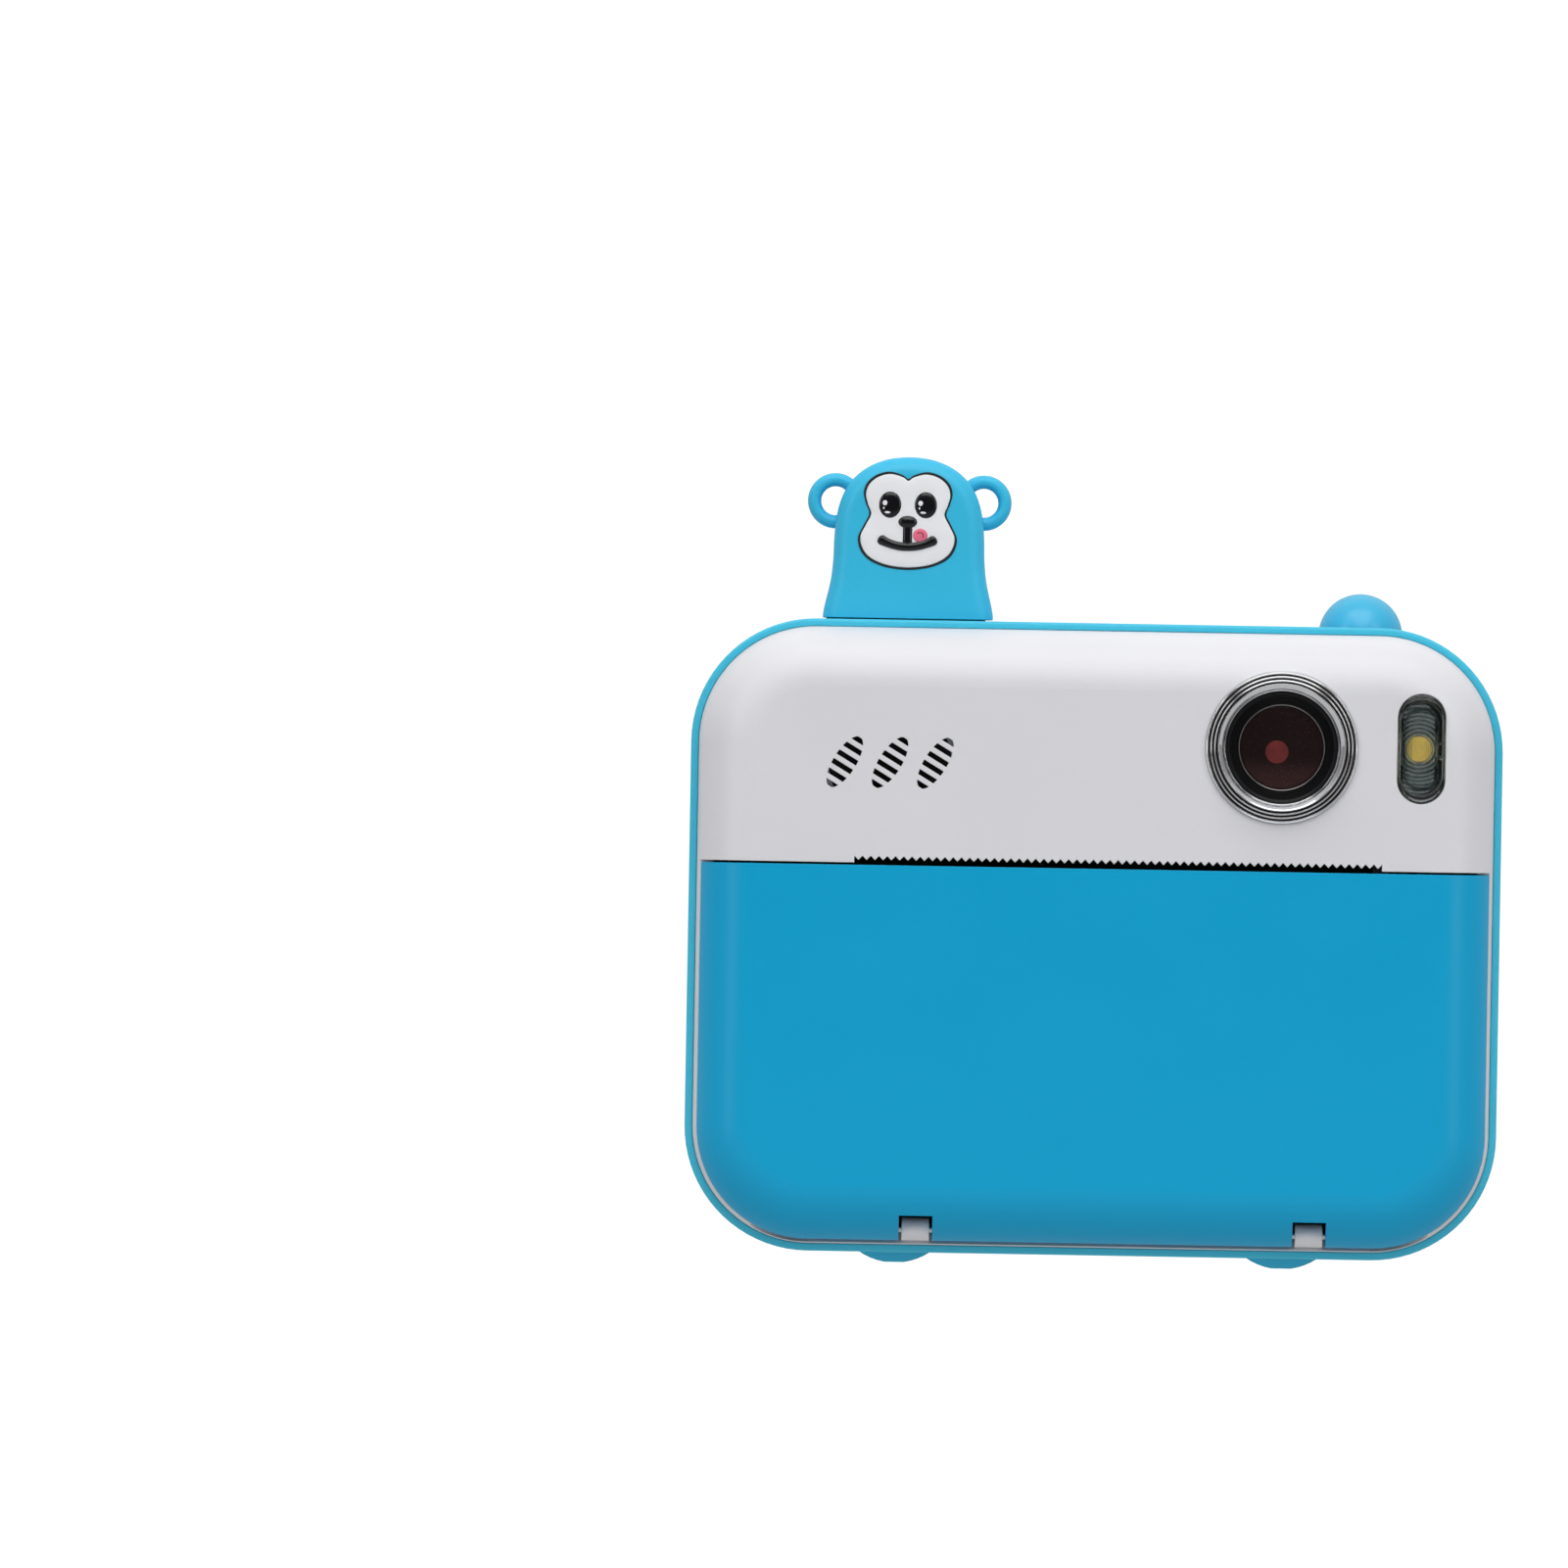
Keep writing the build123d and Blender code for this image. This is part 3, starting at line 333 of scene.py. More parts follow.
lens_centre = (lens_x * mm, 0.0, lens_z * mm)
chromed = turned_finish("chromed_ring", (0.82, 0.83, 0.85), 0.09, lens_centre, 5000.0, 0.000003, Metallic=1.0)
crests = [(11.46 - crest * 0.58, -0.66 - crest * 0.42) for crest in range(3)]
ring_profile = [(11.6, 0.5), (11.6, -0.5), crests[0]]
for r, y in crests:
    ring_profile += [(r, y + 0.06), (r - 0.09, y), (r - 0.22, y), (r - 0.28, y + 0.24)]
    ring_profile += [(r - 0.50, y + 0.24), (r - 0.54, y - 0.1)]
ring_profile += [(9.74, -2.0), (9.60, -2.0), (8.96, -1.42), (8.90, -1.0), (8.84, -1.0), (8.78, -1.16)]
ring_profile += [(8.66, -1.16), (8.60, -1.06), (8.60, 1.35), (9.8, 1.35), (9.8, 0.5), (11.6, 0.5)]
lens_ring_mesh = lens_part("lens_ring", rounded(ring_profile, 0.05, 4), 220)
lens_ring = add_piece("lens_ring", lens_ring_mesh, "camera_body", chromed)
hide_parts("lens_bezel")

# Each groove of the ring holds a thin black ring, painted shade that darkens the groove.
groove_shade_black = turned_finish("ring_groove_shade", (0.012, 0.008, 0.007), 0.3, lens_centre)
groove = np.array([(-0.25, 0.2), (-0.29, 0.12), (-0.50, 0.12), (-0.52, 0.2), (-0.25, 0.2)])
line_meshes = [lens_part("line", groove + crest, 180) for crest in crests]
add_piece("ring_groove_shade", joined("ring_groove_shade", line_meshes), "camera_body", groove_shade_black)

# The barrel steps down inwards, with light traps cut round it, and a bright line where the glass is seated.
anodised = turned_finish(
    "barrel_black", (0.005, 0.005, 0.006), 0.3, lens_centre, 12000.0, 0.000006, Specular_IOR_Level=0.22)
barrel_profile = [(8.58, 1.5), (8.58, -0.55), (8.3, -0.62), (8.1, -0.42)]
for step in range(5):
    r, y = 8.0 - step * 0.26, -0.38 + step * 0.14
    barrel_profile += [(r, y), (r - 0.05, y + 0.16), (r - 0.2, y + 0.16), (r - 0.22, y + 0.06)]
barrel_profile += [(6.72, 0.34), (6.72, 1.5), (5.6, 1.5), (5.6, 6.0), (9.85, 6.0), (9.85, 1.5), (8.58, 1.5)]
barrel_mesh = lens_part("lens_barrel_rings", rounded(barrel_profile, 0.03, 3), 180)
barrel = add_piece("lens_barrel_rings", barrel_mesh, "camera_body", anodised)
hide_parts("lens_barrel")
seat_profile = [(6.6, 0.42), (6.6, 0.26), (6.52, 0.2), (6.42, 0.27), (6.42, 0.42), (6.6, 0.42)]
seat_steel = turned_finish("seat_ring_steel", (0.24, 0.23, 0.23), 0.25, lens_centre, Metallic=1.0)
seat_mesh = lens_part("glass_seat_ring", rounded(seat_profile, 0.04, 4), 160)
add_piece("glass_seat_ring", seat_mesh, "camera_body", seat_steel)

# The cover glass is flat. Behind it a convex element mirrors the ground in its lower half through a red coating.
cover_glass, cover_tree, cover_bsdf = new_material(
    "cover_glass", Roughness=0.03, Specular_IOR_Level=0.6, Alpha=0.16)
smear = spread(cover_tree, noise(cover_tree, 160.0, 3.0), 0.92, 1.04)
feed(cover_tree, cover_bsdf, Base_Color=toned(cover_tree, (0.05, 0.03, 0.03), smear))
glass_profile = rounded([(0, 0.42), (6.3, 0.42), (6.4, 0.5), (6.4, 0.75), (0, 0.75)], 0.05, 4)
glass_mesh = lens_part("cover_glass", glass_profile, 120)
front_glass = add_piece("cover_glass", glass_mesh, "camera_body", cover_glass)
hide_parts("lens_glass")


def cap_profile(radius, rim_y, rise, steps=24):
    """A shallow spherical cap from its pole to its rim: the rise falls with the square of the radius."""
    t = np.linspace(0, 1, steps)
    return np.stack([radius * t, rim_y - rise * (1 - t**2)], axis=-1)


cell_black = moulded("cell_black", (0.012, 0.012, 0.013), 0.5, 6000.0, 0.00001)
cell_profile = [(5.2, 4.6), (5.35, 4.6), (5.35, 5.6), (4.2, 5.6), (4.2, 11.0), (6.0, 11.0), (6.0, 17.0), (0, 17.0)]
cell_profile = np.concatenate([[(0, 4.9), (5.1, 4.9)], rounded(cell_profile, 0.08, 4)])
cell = add_piece("lens_cell", lens_part("lens_cell", cell_profile, 100), "camera_body", cell_black)
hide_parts("camera_lens")
coated, coated_tree, coated_bsdf = new_material("coated_element", Metallic=1.0)
facing = feed(coated_tree, coated_tree.nodes.new("ShaderNodeLayerWeight"), Blend=0.3).outputs["Facing"]
coating = mixed(coated_tree, facing, (0.090, 0.042, 0.042), (0.020, 0.010, 0.011))
polish = spread(coated_tree, noise(coated_tree, 220.0), 0.10, 0.13)
feed(coated_tree, coated_bsdf, Base_Color=coating, Roughness=polish)
element_profile = np.concatenate([cap_profile(6.36, 1.4, 0.52), [(6.36, 1.48), (0, 1.48)]])
element_mesh = lens_part("front_element", element_profile, 120)
add_piece("front_element", element_mesh, "camera_body", coated)
# Painted reflection: a red disc below and left of the axis, in front of the element, stands for the coating's red
# reflection.
red_reflection_disc, reflection_disc_tree, reflection_disc_bsdf = new_material("red_reflection_disc", Roughness=0.3, Coat_Weight=0.5)
reflection_tone = spread(reflection_disc_tree, noise(reflection_disc_tree, 500.0, 3.0), 0.8, 1.15)
feed(reflection_disc_tree, reflection_disc_bsdf, Base_Color=toned(reflection_disc_tree, (0.25, 0.032, 0.032), reflection_tone))
reflection_disc_profile = np.concatenate([cap_profile(1.75, 0.86, 0.03, 10), [(1.75, 1.1), (0, 1.1)]])
reflection_disc_mesh = lens_part("lens_red_reflection", reflection_disc_profile, 64, dx=-0.7, dz=-0.66)
add_piece("lens_red_reflection", reflection_disc_mesh, "camera_body", red_reflection_disc)

# ------------------------ flash
# A clear acrylic window moulded with ring ridges spreads the light of one yellow lamp on a dark board.
# It is pressed into the shell flush with the wall, with a clip at its outer side.
flash_x, flash_z = 49.3, 79.8


def stadium(half_w, half_h, steps=96):
    """The outline of a slot with round ends: a circle whose upper and lower halves are moved apart."""
    t = np.linspace(0, 2 * np.pi, steps, endpoint=False)
    straight = half_h - half_w
    z = half_w * np.sin(t)
    return half_w * np.cos(t), z + np.where(z >= 0, straight, -straight)


def shrinking(outline, layers, centre):
    """Rings of an outline about a centre in X and Z. Each layer gives a factor on the outline and its place in Y."""
    x, z = outline
    cx, cz = centre
    return np.array([np.stack([x * k + cx, np.full_like(x, y), z * k + cz], axis=-1) for k, y in layers])


acrylic_clear, acrylic_tree, acrylic_bsdf = new_material(
    "acrylic_clear", Base_Color=(0.90, 0.95, 0.95), IOR=1.42, Transmission_Weight=1.0)
feed(acrylic_tree, acrylic_bsdf, Roughness=spread(acrylic_tree, noise(acrylic_tree, 900.0), 0.01, 0.05))
window_layers = [(0.0, -23.12), (0.72, -23.12), (0.86, -23.06), (0.93, -22.9), (0.97, -23.05), (1.0, -22.9)]
window_layers += [(1.0, -20.95), (0.86, -20.95), (0.84, -21.8), (0.0, -21.9)]
window_rings = shrinking(stadium(3.63, 8.33), window_layers, (flash_x, flash_z))
window_mesh = grid_mesh("flash_lens", window_rings, close_v=True)
window = add_piece("flash_lens", window_mesh, "camera_body", acrylic_clear)
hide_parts("flash_window")


ridge_x = flash_x - 0.35
ridge_pitch, ridge_start = 0.62, 2.2


def ridged_plate(half_w, half_h, depth, front, back, centre, rows=150):
    """A stadium plate whose front has ring ridges: Y swings by the depth with the distance from the centre, once
    in each pitch, outside a plain middle. The plate is closed behind."""
    x, z = stadium(half_w, half_h, 120)
    s = np.linspace(0, 1, rows)[:, None]
    px, pz = x * s, z * s
    radius = np.hypot(px, pz)
    swing = np.abs(np.sin(np.pi * radius / ridge_pitch))
    y = front - depth * swing * (radius > ridge_start)
    plate = np.stack([px + centre[0], y, pz + centre[1]], axis=-1)
    rim = shrinking((x, z), [(1.0, back), (0.0, back)], centre)
    return np.concatenate([plate, rim])


# The ridge crests are painted pale as rings, a painted highlight on clear plastic, and the plain middle is painted
# with the lamp's yellow light.
ridges = ridged_plate(2.35, 6.9, 0.12, -21.45, -21.2, (ridge_x, flash_z))
ridged_acrylic, ridge_tree, ridge_bsdf = new_material("ridged_acrylic", IOR=1.42, Transmission_Weight=0.72)
ridge_place = vector_node(ridge_tree, "SUBTRACT", here(ridge_tree), (ridge_x * mm, -21.4 * mm, flash_z * mm))
ridge_radius = vector_node(ridge_tree, "LENGTH", ridge_place)
swing = math_node(ridge_tree, "SINE", math_node(ridge_tree, "MULTIPLY", ridge_radius, math.pi / (ridge_pitch * mm)))
# Painted highlight: the crests of the ridges mix towards white.
crest_highlight_mask = spread(ridge_tree, math_node(ridge_tree, "ABSOLUTE", swing), 0.0, 1.0, 0.72, 0.96)
painted_ring_highlights = mixed(ridge_tree, crest_highlight_mask, (0.20, 0.25, 0.25), (1.0, 1.0, 1.0))
# Painted light: inside this edge the plain middle takes the lamp's yellow.
yellow_middle_edge = spread(ridge_tree, ridge_radius, 0.0, 1.0, 1.85 * mm, 2.05 * mm)
ridge_painted_light = mixed(ridge_tree, yellow_middle_edge, (1.0, 0.86, 0.42), painted_ring_highlights)
ridge_rough = spread(ridge_tree, crest_highlight_mask, 0.05, 0.25, 0.0, 1.0)
feed(ridge_tree, ridge_bsdf, Base_Color=ridge_painted_light, Roughness=ridge_rough)
ridge_mesh = grid_mesh("flash_ridges", ridges, close_v=True)
add_piece("flash_ridges", ridge_mesh, "camera_body", ridged_acrylic)


def smooth_path(points, steps, closed=False):
    """A Catmull-Rom curve through the points, with the given number of steps between each two of them."""
    p = np.asarray(points, dtype=float)
    if closed:
        p = np.concatenate([p[-1:], p, p[:2]])
    else:
        p = np.concatenate([2 * p[:1] - p[1:2], p, 2 * p[-1:] - p[-2:-1]])
    t = np.linspace(0, 1, steps, endpoint=False)[:, None]
    out = []
    for a, b, c, d in zip(p, p[1:], p[2:], p[3:]):
        curve = 2 * b + (c - a) * t + (2 * a - 5 * b + 4 * c - d) * t**2 + (3 * b - a - 3 * c + d) * t**3
        out.append(0.5 * curve)
    out = np.concatenate(out)
    return out if closed else np.concatenate([out, p[-2:-1]])


tab_path = smooth_path([(-0.55, -1.0), (0.55, -1.0), (0.55, 1.0), (-0.55, 1.0)], 6, closed=True)
tab_layers = [(0.7, -23.0), (0.75, -23.2), (1.0, -23.2), (1.05, -23.0), (0.7, -23.0)]
tab_mesh = grid_mesh("flash_tab", shrinking(tab_path.T, tab_layers, (52.2, 79.6)), close_v=True)
add_piece("flash_tab", tab_mesh, "camera_body", acrylic_clear)
frame_metal = turned_finish(
    "flash_frame_metal", (0.16, 0.20, 0.20), 0.28, (flash_x * mm, 0, flash_z * mm), Metallic=1.0)
trim_layers = [(0.80, -20.95), (0.78, -21.75), (0.74, -21.75), (0.72, -20.95), (0.80, -20.95)]
trim = grid_mesh("flash_frame", shrinking(stadium(3.3, 8.0), trim_layers, (flash_x, flash_z)), close_v=True)
add_piece("flash_frame", trim, "camera_body", frame_metal)

# The lamp is yellow phosphor in front and dark plastic behind. Its faint glow, from the emission below, is painted
# light.
lamp_back_y = -19.25
# The emission strength here is a painted glow of the phosphor.
lamp_yellow, lamp_tree, lamp_bsdf = new_material("lamp_yellow", Roughness=0.35, Emission_Strength=0.65)
lamp_tone = spread(lamp_tree, noise(lamp_tree, 1800.0, 3.0), 0.85, 1.1)
behind = math_node(lamp_tree, "GREATER_THAN", split(lamp_tree, here(lamp_tree))["Y"], lamp_back_y * mm)
phosphor = mixed(lamp_tree, behind, (0.86, 0.66, 0.20), (0.030, 0.040, 0.036))
phosphor_and_painted_glow = toned(lamp_tree, phosphor, lamp_tone)
feed(lamp_tree, lamp_bsdf, Base_Color=phosphor_and_painted_glow, Emission_Color=phosphor_and_painted_glow)
dress(lamp_yellow, "flash_lamp")
board_dark = moulded("flash_board_dark", (0.035, 0.055, 0.05), 0.35, 900.0, 0.00002, 0.0001, 0.1)
dress(board_dark, "flash_board")

# ------------------------ loudspeaker
# A small steel-framed loudspeaker with a black paper cone sits behind three slanted groups of slots.
# It is held in a round seat moulded on the back of the front wall.
zinc_steel, zinc_tree, zinc_bsdf = new_material("zinc_steel", Metallic=1.0)
spangle = noise(zinc_tree, 700.0, 4.0, 0.65)
zinc_colour = toned(zinc_tree, (0.60, 0.61, 0.63), spread(zinc_tree, spangle, 0.82, 1.08))
feed(zinc_tree, zinc_bsdf, Base_Color=zinc_colour, Roughness=spread(zinc_tree, spangle, 0.42, 0.26))
dress(zinc_steel, "speaker_driver", "stepper_motor", "shell_screws", "bay_screws")


def mapped(tree, **sockets):
    """The Object coordinates sent through a Mapping node."""
    return feed(tree, tree.nodes.new("ShaderNodeMapping"), Vector=here(tree), **sockets).outputs["Vector"]


def fibrous(name, colour, roughness, scale, depth):
    """Paper or card: short fibres from a noise that is finer along X than along Z, in both colour and relief."""
    mat, tree, bsdf = new_material(name, Specular_IOR_Level=0.3)
    fibre = noise(tree, scale, 5.0, 0.65, mapped(tree, Scale=(1.0, 2.5, 2.5)))
    base = toned(tree, colour, spread(tree, fibre, 0.9, 1.06))
    rough = spread(tree, fibre, roughness - 0.05, roughness + 0.05)
    feed(tree, bsdf, Base_Color=base, Roughness=rough, Normal=bumped(tree, fibre, depth))
    return mat


dress(fibrous("cone_paper", (0.03, 0.03, 0.03), 0.8, 1500.0, 0.00004), "speaker_cone")

# ------------------------ silicone case
# One soft silicone moulding wraps the sides and the rear rim, with two long feet under it.
# It is stretched on over the body and has no fasteners.
case_silicone = moulded(
    "case_silicone", (0.055, 0.56, 0.79), 0.45, 2600.0, 0.000016, 0.0004, 0.02, Specular_IOR_Level=0.4)
dress(case_silicone, "silicone_case")

# ------------------------ monkey head
# The head is a hollow-backed silicone moulding that grows out of the case's top, with two open rings for ears.
# A thin dark band under its base, where it meets the top, is a painted shadow line.
head_x, head_front, head_back = -29.5, -12.6, 0.4
head_mid, head_edge = head_x + 0.3, 2.6
head_foot, spine_low, spine_high = 99.0, 103.0, 115.0
head_half = [(12.98, 98.42), (13.0, 98.9), (12.86, 99.9), (12.55, 101.3), (12.1, 103.2), (11.75, 105.3)]
head_half += [(11.55, 107.8), (11.48, 110.5), (11.25, 113.2), (10.75, 115.8), (9.75, 118.2), (8.3, 120.1)]
head_half += [(6.3, 121.6), (3.9, 122.6), (1.9, 122.98)]
right_side = np.array(head_half)
side_path = smooth_path(np.concatenate([right_side, [(0, 123.1)], right_side[::-1] * np.array([-1, 1])]), 6)


def head_ring(distance):
    """The head's outline moved inwards, less so near its foot, and closed by a straight row along its base."""
    slope = np.gradient(side_path, axis=0)
    slope /= np.linalg.norm(slope, axis=1)[:, None]
    foot = np.clip((side_path[:, 1] - head_foot) / 2, 0, 1)
    ring = side_path + np.stack([-slope[:, 1], slope[:, 0] * foot], axis=-1) * distance
    return np.concatenate([ring, np.linspace(ring[-1], ring[0], 22)[1:-1]])


spine = head_ring(0.0)
spine = np.stack([np.zeros(len(spine)), np.clip(spine[:, 1], spine_low, spine_high)], axis=-1)
quarter = np.linspace(0, np.pi / 2, 9)
rows = []
for side, y_face in ((1, head_back), (-1, head_front)):
    edge = [(head_ring(head_edge * (1 - np.sin(a))), y_face - side * head_edge * (1 - np.cos(a))) for a in quarter]
    face = [(spine + (edge[0][0] - spine) * k, y_face) for k in np.linspace(0, 0.96, 9)]
    rows += face + edge if side == 1 else edge[::-1] + face[::-1]
head_grid = np.array([np.stack([r[:, 0] + head_mid, np.full(len(r), y), r[:, 1]], axis=-1) for r, y in rows])
head_mesh = grid_mesh("monkey_head_body", head_grid, close_v=True)


def ring_ear(name, centre, major, minor, depth):
    """An open ring ear: a rounded section carried round a circle in X and Z."""
    turn = np.linspace(0, 2 * np.pi, 72, endpoint=False)[:, None]
    section = np.linspace(0, 2 * np.pi, 28, endpoint=False)[None, :]
    reach = major + minor * np.sign(np.cos(section)) * np.abs(np.cos(section)) ** 0.85
    y = centre[1] + depth * np.sign(np.sin(section)) * np.abs(np.sin(section)) ** 0.7 + 0 * turn
    points = np.stack([centre[0] + reach * np.cos(turn), y, centre[2] + reach * np.sin(turn)], axis=-1)
    return grid_mesh(name, points, close_u=True, close_v=True)


def oval(half_w, half_h, steps=64):
    """The outline of an ellipse in X and Z."""
    t = np.linspace(0, 2 * np.pi, steps, endpoint=False)
    return np.stack([half_w * np.cos(t), half_h * np.sin(t)], axis=-1)


head_silicone = moulded(
    "head_silicone", (0.035, 0.52, 0.80), 0.42, 2600.0, 0.000014, 0.0002, 0.02, Specular_IOR_Level=0.4)
head_body = add_piece("monkey_head_body", head_mesh, "camera_body", head_silicone, crease=60)
ear_meshes = [ring_ear("ear", (head_mid + side * 11.35, -6.3, 116.3), 3.22, 1.03, 2.1) for side in (-1, 1)]
ears_mesh = joined("monkey_ears", ear_meshes)
ears = add_piece("monkey_ears", ears_mesh, "camera_body", head_silicone, crease=60)
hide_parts("monkey_head")
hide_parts("monkey_head")
# Painted shadow: a dark band, inset under the head's base, stands for the shade where the head meets the case.
head_shadow_dark = moulded("head_shadow_dark", (0.01, 0.08, 0.12), 0.6)
shadow_x, shadow_y = oval(12.2, 5.4, 72).T
shadow_layers = [(0, 98.15), (1, 98.15), (1, 98.6), (0, 98.6)]
shadow_rows = [np.stack([shadow_x * k + head_x, shadow_y * k - 6.3, np.full(72, z)], axis=-1) for k, z in shadow_layers]
shadow_mesh = grid_mesh("head_base_shadow", np.array(shadow_rows), close_v=True)
add_piece("head_base_shadow", shadow_mesh, "camera_body", head_shadow_dark, smooth=False)

# ------------------------ face
# The plain animal face is a white rubber pad let into the head, with raised glossy black and pink inlays.
# Each inlay is bonded on and slightly domed, and a thin dark groove runs round the pad.
face_z = 113.2
pad_half = [(0.9, 120.1), (2.8, 120.55), (4.7, 120.05), (6.05, 118.9), (6.55, 117.4), (6.2, 115.8), (5.7, 114.3)]
pad_half += [(6.5, 112.6), (7.3, 110.8), (6.95, 109.0), (5.8, 107.6), (3.7, 106.6), (1.2, 106.15)]
pad_right = np.array(pad_half)
pad_points = np.concatenate([pad_right, pad_right[::-1] * np.array([-1, 1]), [(0, 119.55)]])
pad_outline = smooth_path(pad_points, 8, closed=True) - np.array([0, face_z])


def pad(name, outline, centre, layers):
    """A domed pad: rings of an outline, each a factor and a place in Y, about a centre in X and Z."""
    return grid_mesh(name, shrinking(outline.T, layers, centre), close_v=True)


face_white = moulded("face_white", (0.88, 0.89, 0.92), 0.38, 3500.0, 0.000010, 0.0001, 0.03)
pad_layers = [(0.0, -12.98), (0.5, -12.96), (0.8, -12.93), (0.93, -12.88), (0.975, -12.8), (0.985, -12.66)]
pad_layers += [(0.985, -12.0), (0, -12.0)]
face_mesh = pad("face_pad", pad_outline, (head_x, face_z), pad_layers)
face_pad = add_piece("face_pad", face_mesh, "camera_body", face_white)
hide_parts("face_plate")
groove_black = moulded("groove_black", (0.006, 0.010, 0.013), 0.6)
groove_layers = [(0.975, -12.2), (0.975, -12.66), (0.99, -12.68), (1.035, -12.67), (1.035, -12.2), (0.975, -12.2)]
groove_mesh = pad("face_groove", pad_outline, (head_x, face_z), groove_layers)
add_piece("face_groove", groove_mesh, "camera_body", groove_black)


def dome_layers(base, top, steps=9):
    """Factors and places in Y of a dome: an ellipse quarter from its top to its rim, then straight into the base."""
    t = np.linspace(0, np.pi / 2, steps)
    dome = [(math.sin(a), base + (top - base) * math.cos(a) ** 0.8) for a in t]
    return dome + [(1.0, base + 0.3), (0.0, base + 0.3)]


face_black = moulded("face_black", (0.006, 0.006, 0.008), 0.16, 3000.0, 0.000006, 0.0001, 0.02)
eye_w, eye_h, eye_z, eye_gap = 1.74, 2.05, 115.75, 2.72
eye_base, eye_top = -12.85, -13.25
eye_layers = dome_layers(eye_base, eye_top)
eye_meshes = [pad("eye", oval(eye_w, eye_h), (head_x + dx, eye_z), eye_layers) for dx in (-eye_gap, eye_gap)]
eyes = add_piece("eyes", joined("eyes", eye_meshes), "camera_body", face_black, crease=60)
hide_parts("face_eyes")

# Three white glints lie on each eye, at the height of an ellipsoid over its outline.
glints = ((-0.75, 0.25, 0.42, 0.42), (-0.35, -1.15, 0.5, 0.2), (-0.95, -0.5, 0.16, 0.2))
glint_meshes = []
for dx in (-eye_gap, eye_gap):
    for gx, gz, w, h in glints:
        rise = math.sqrt(max(0.0, 1 - (gx / eye_w) ** 2 - (gz / eye_h) ** 2))
        front = eye_base + (eye_top - eye_base) * rise
        glint_layers = dome_layers(front + 0.03, front - 0.05, 5)
        glint_meshes.append(pad("glint", oval(w, h, 32), (head_x + dx + gx, eye_z + gz), glint_layers))
glint_mesh = joined("eye_glints", glint_meshes)
add_piece("eye_glints", glint_mesh, "camera_body", face_white, crease=60)


def stroke(name, path, half_w, base, top, taper=None):
    """A raised stroke along a path in X and Z: a half-round section whose width falls to nothing in a round end."""
    path = np.asarray(path, dtype=float)
    step = np.gradient(path, axis=0)
    step /= np.linalg.norm(step, axis=1)[:, None]
    side = np.stack([-step[:, 1], step[:, 0]], axis=-1)
    travel = np.concatenate([[0], np.cumsum(np.linalg.norm(np.diff(path, axis=0), axis=1))])
    near = np.minimum(travel, travel[-1] - travel)
    width = np.full(len(path), half_w) if taper is None else np.asarray(taper, dtype=float)
    width = width * np.sqrt(np.clip(1 - (1 - np.minimum(near / width, 1.0)) ** 2, 0, 1))
    turn = np.linspace(0, 2 * np.pi, 20, endpoint=False)
    across, up = np.cos(turn), np.sin(turn)
    rows = []
    for p, n, w in zip(path, side, width):
        full = min(1.0, w / half_w)
        y = base + np.where(up > 0, (top - base) * up, -0.2 * up) * full
        rows.append(np.stack([p[0] + n[0] * w * across, y, p[1] + n[1] * w * across], axis=-1))
    return grid_mesh(name, np.array(rows), close_v=True)


smile_r, smile_top, inlay_low = 8.1, 117.45, -12.9
smile_angle = np.radians(np.linspace(-33.5, 33.5, 60))
smile_arc = [head_x + smile_r * np.sin(smile_angle), smile_top - smile_r * np.cos(smile_angle)]
smile_path = np.stack(smile_arc, axis=-1)
smile_width = 0.66 + 0.30 * np.abs(np.linspace(-1, 1, 60)) ** 5
stem_path = np.stack([np.full(30, head_x), np.linspace(113.9, 109.5, 30)], axis=-1)
mouth_meshes = [
    stroke("smile", smile_path, 0.6, inlay_low, -13.3, smile_width),
    stroke("stem", stem_path, 0.74, inlay_low, -13.25),
    pad("nose", oval(1.45, 0.95), (head_x, 113.15), dome_layers(inlay_low, -13.4)),
]
mouth_mesh = joined("nose_and_smile", mouth_meshes)
mouth = add_piece("nose_and_smile", mouth_mesh, "camera_body", face_black, crease=60)
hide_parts("face_mouth")
face_pink = moulded("face_pink", (0.80, 0.17, 0.27), 0.3, 3000.0, 0.000008, 0.0001, 0.03)
tongue_x, tongue_z = head_x + 1.95, 111.1
tongue_mesh = pad("tongue", oval(1.14, 1.1), (tongue_x, tongue_z), dome_layers(-12.93, -13.14))
tongue = add_piece("tongue", tongue_mesh, "camera_body", face_pink, crease=60)
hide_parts("face_tongue")
tongue_rim = pad("tongue_rim", oval(1.3, 1.26), (tongue_x, tongue_z), dome_layers(-12.88, -12.99))
add_piece("tongue_rim", tongue_rim, "camera_body", face_black, crease=60)
curl_angle, curl_x = np.radians(np.linspace(-40, 150, 24)), head_x + 1.9
curl_path = np.stack([curl_x + 0.5 * np.cos(curl_angle), tongue_z + 0.5 * np.sin(curl_angle)], axis=-1)
curl_mesh = stroke("tongue_curl", curl_path, 0.09, -13.08, -13.18)
tongue_line = moulded("tongue_line", (0.30, 0.02, 0.05), 0.3)
add_piece("tongue_curl", curl_mesh, "camera_body", tongue_line, crease=60)

# ------------------------ shutter
# The shutter button is a solid blue silicone-coated dome over a spring and a small switch on its own board.
# It slides in a hole through both shells.
button_blue = moulded("button_blue", (0.045, 0.47, 0.73), 0.30, 3000.0, 0.000012, 0.0002, 0.02)
dress(button_blue, "shutter_button")


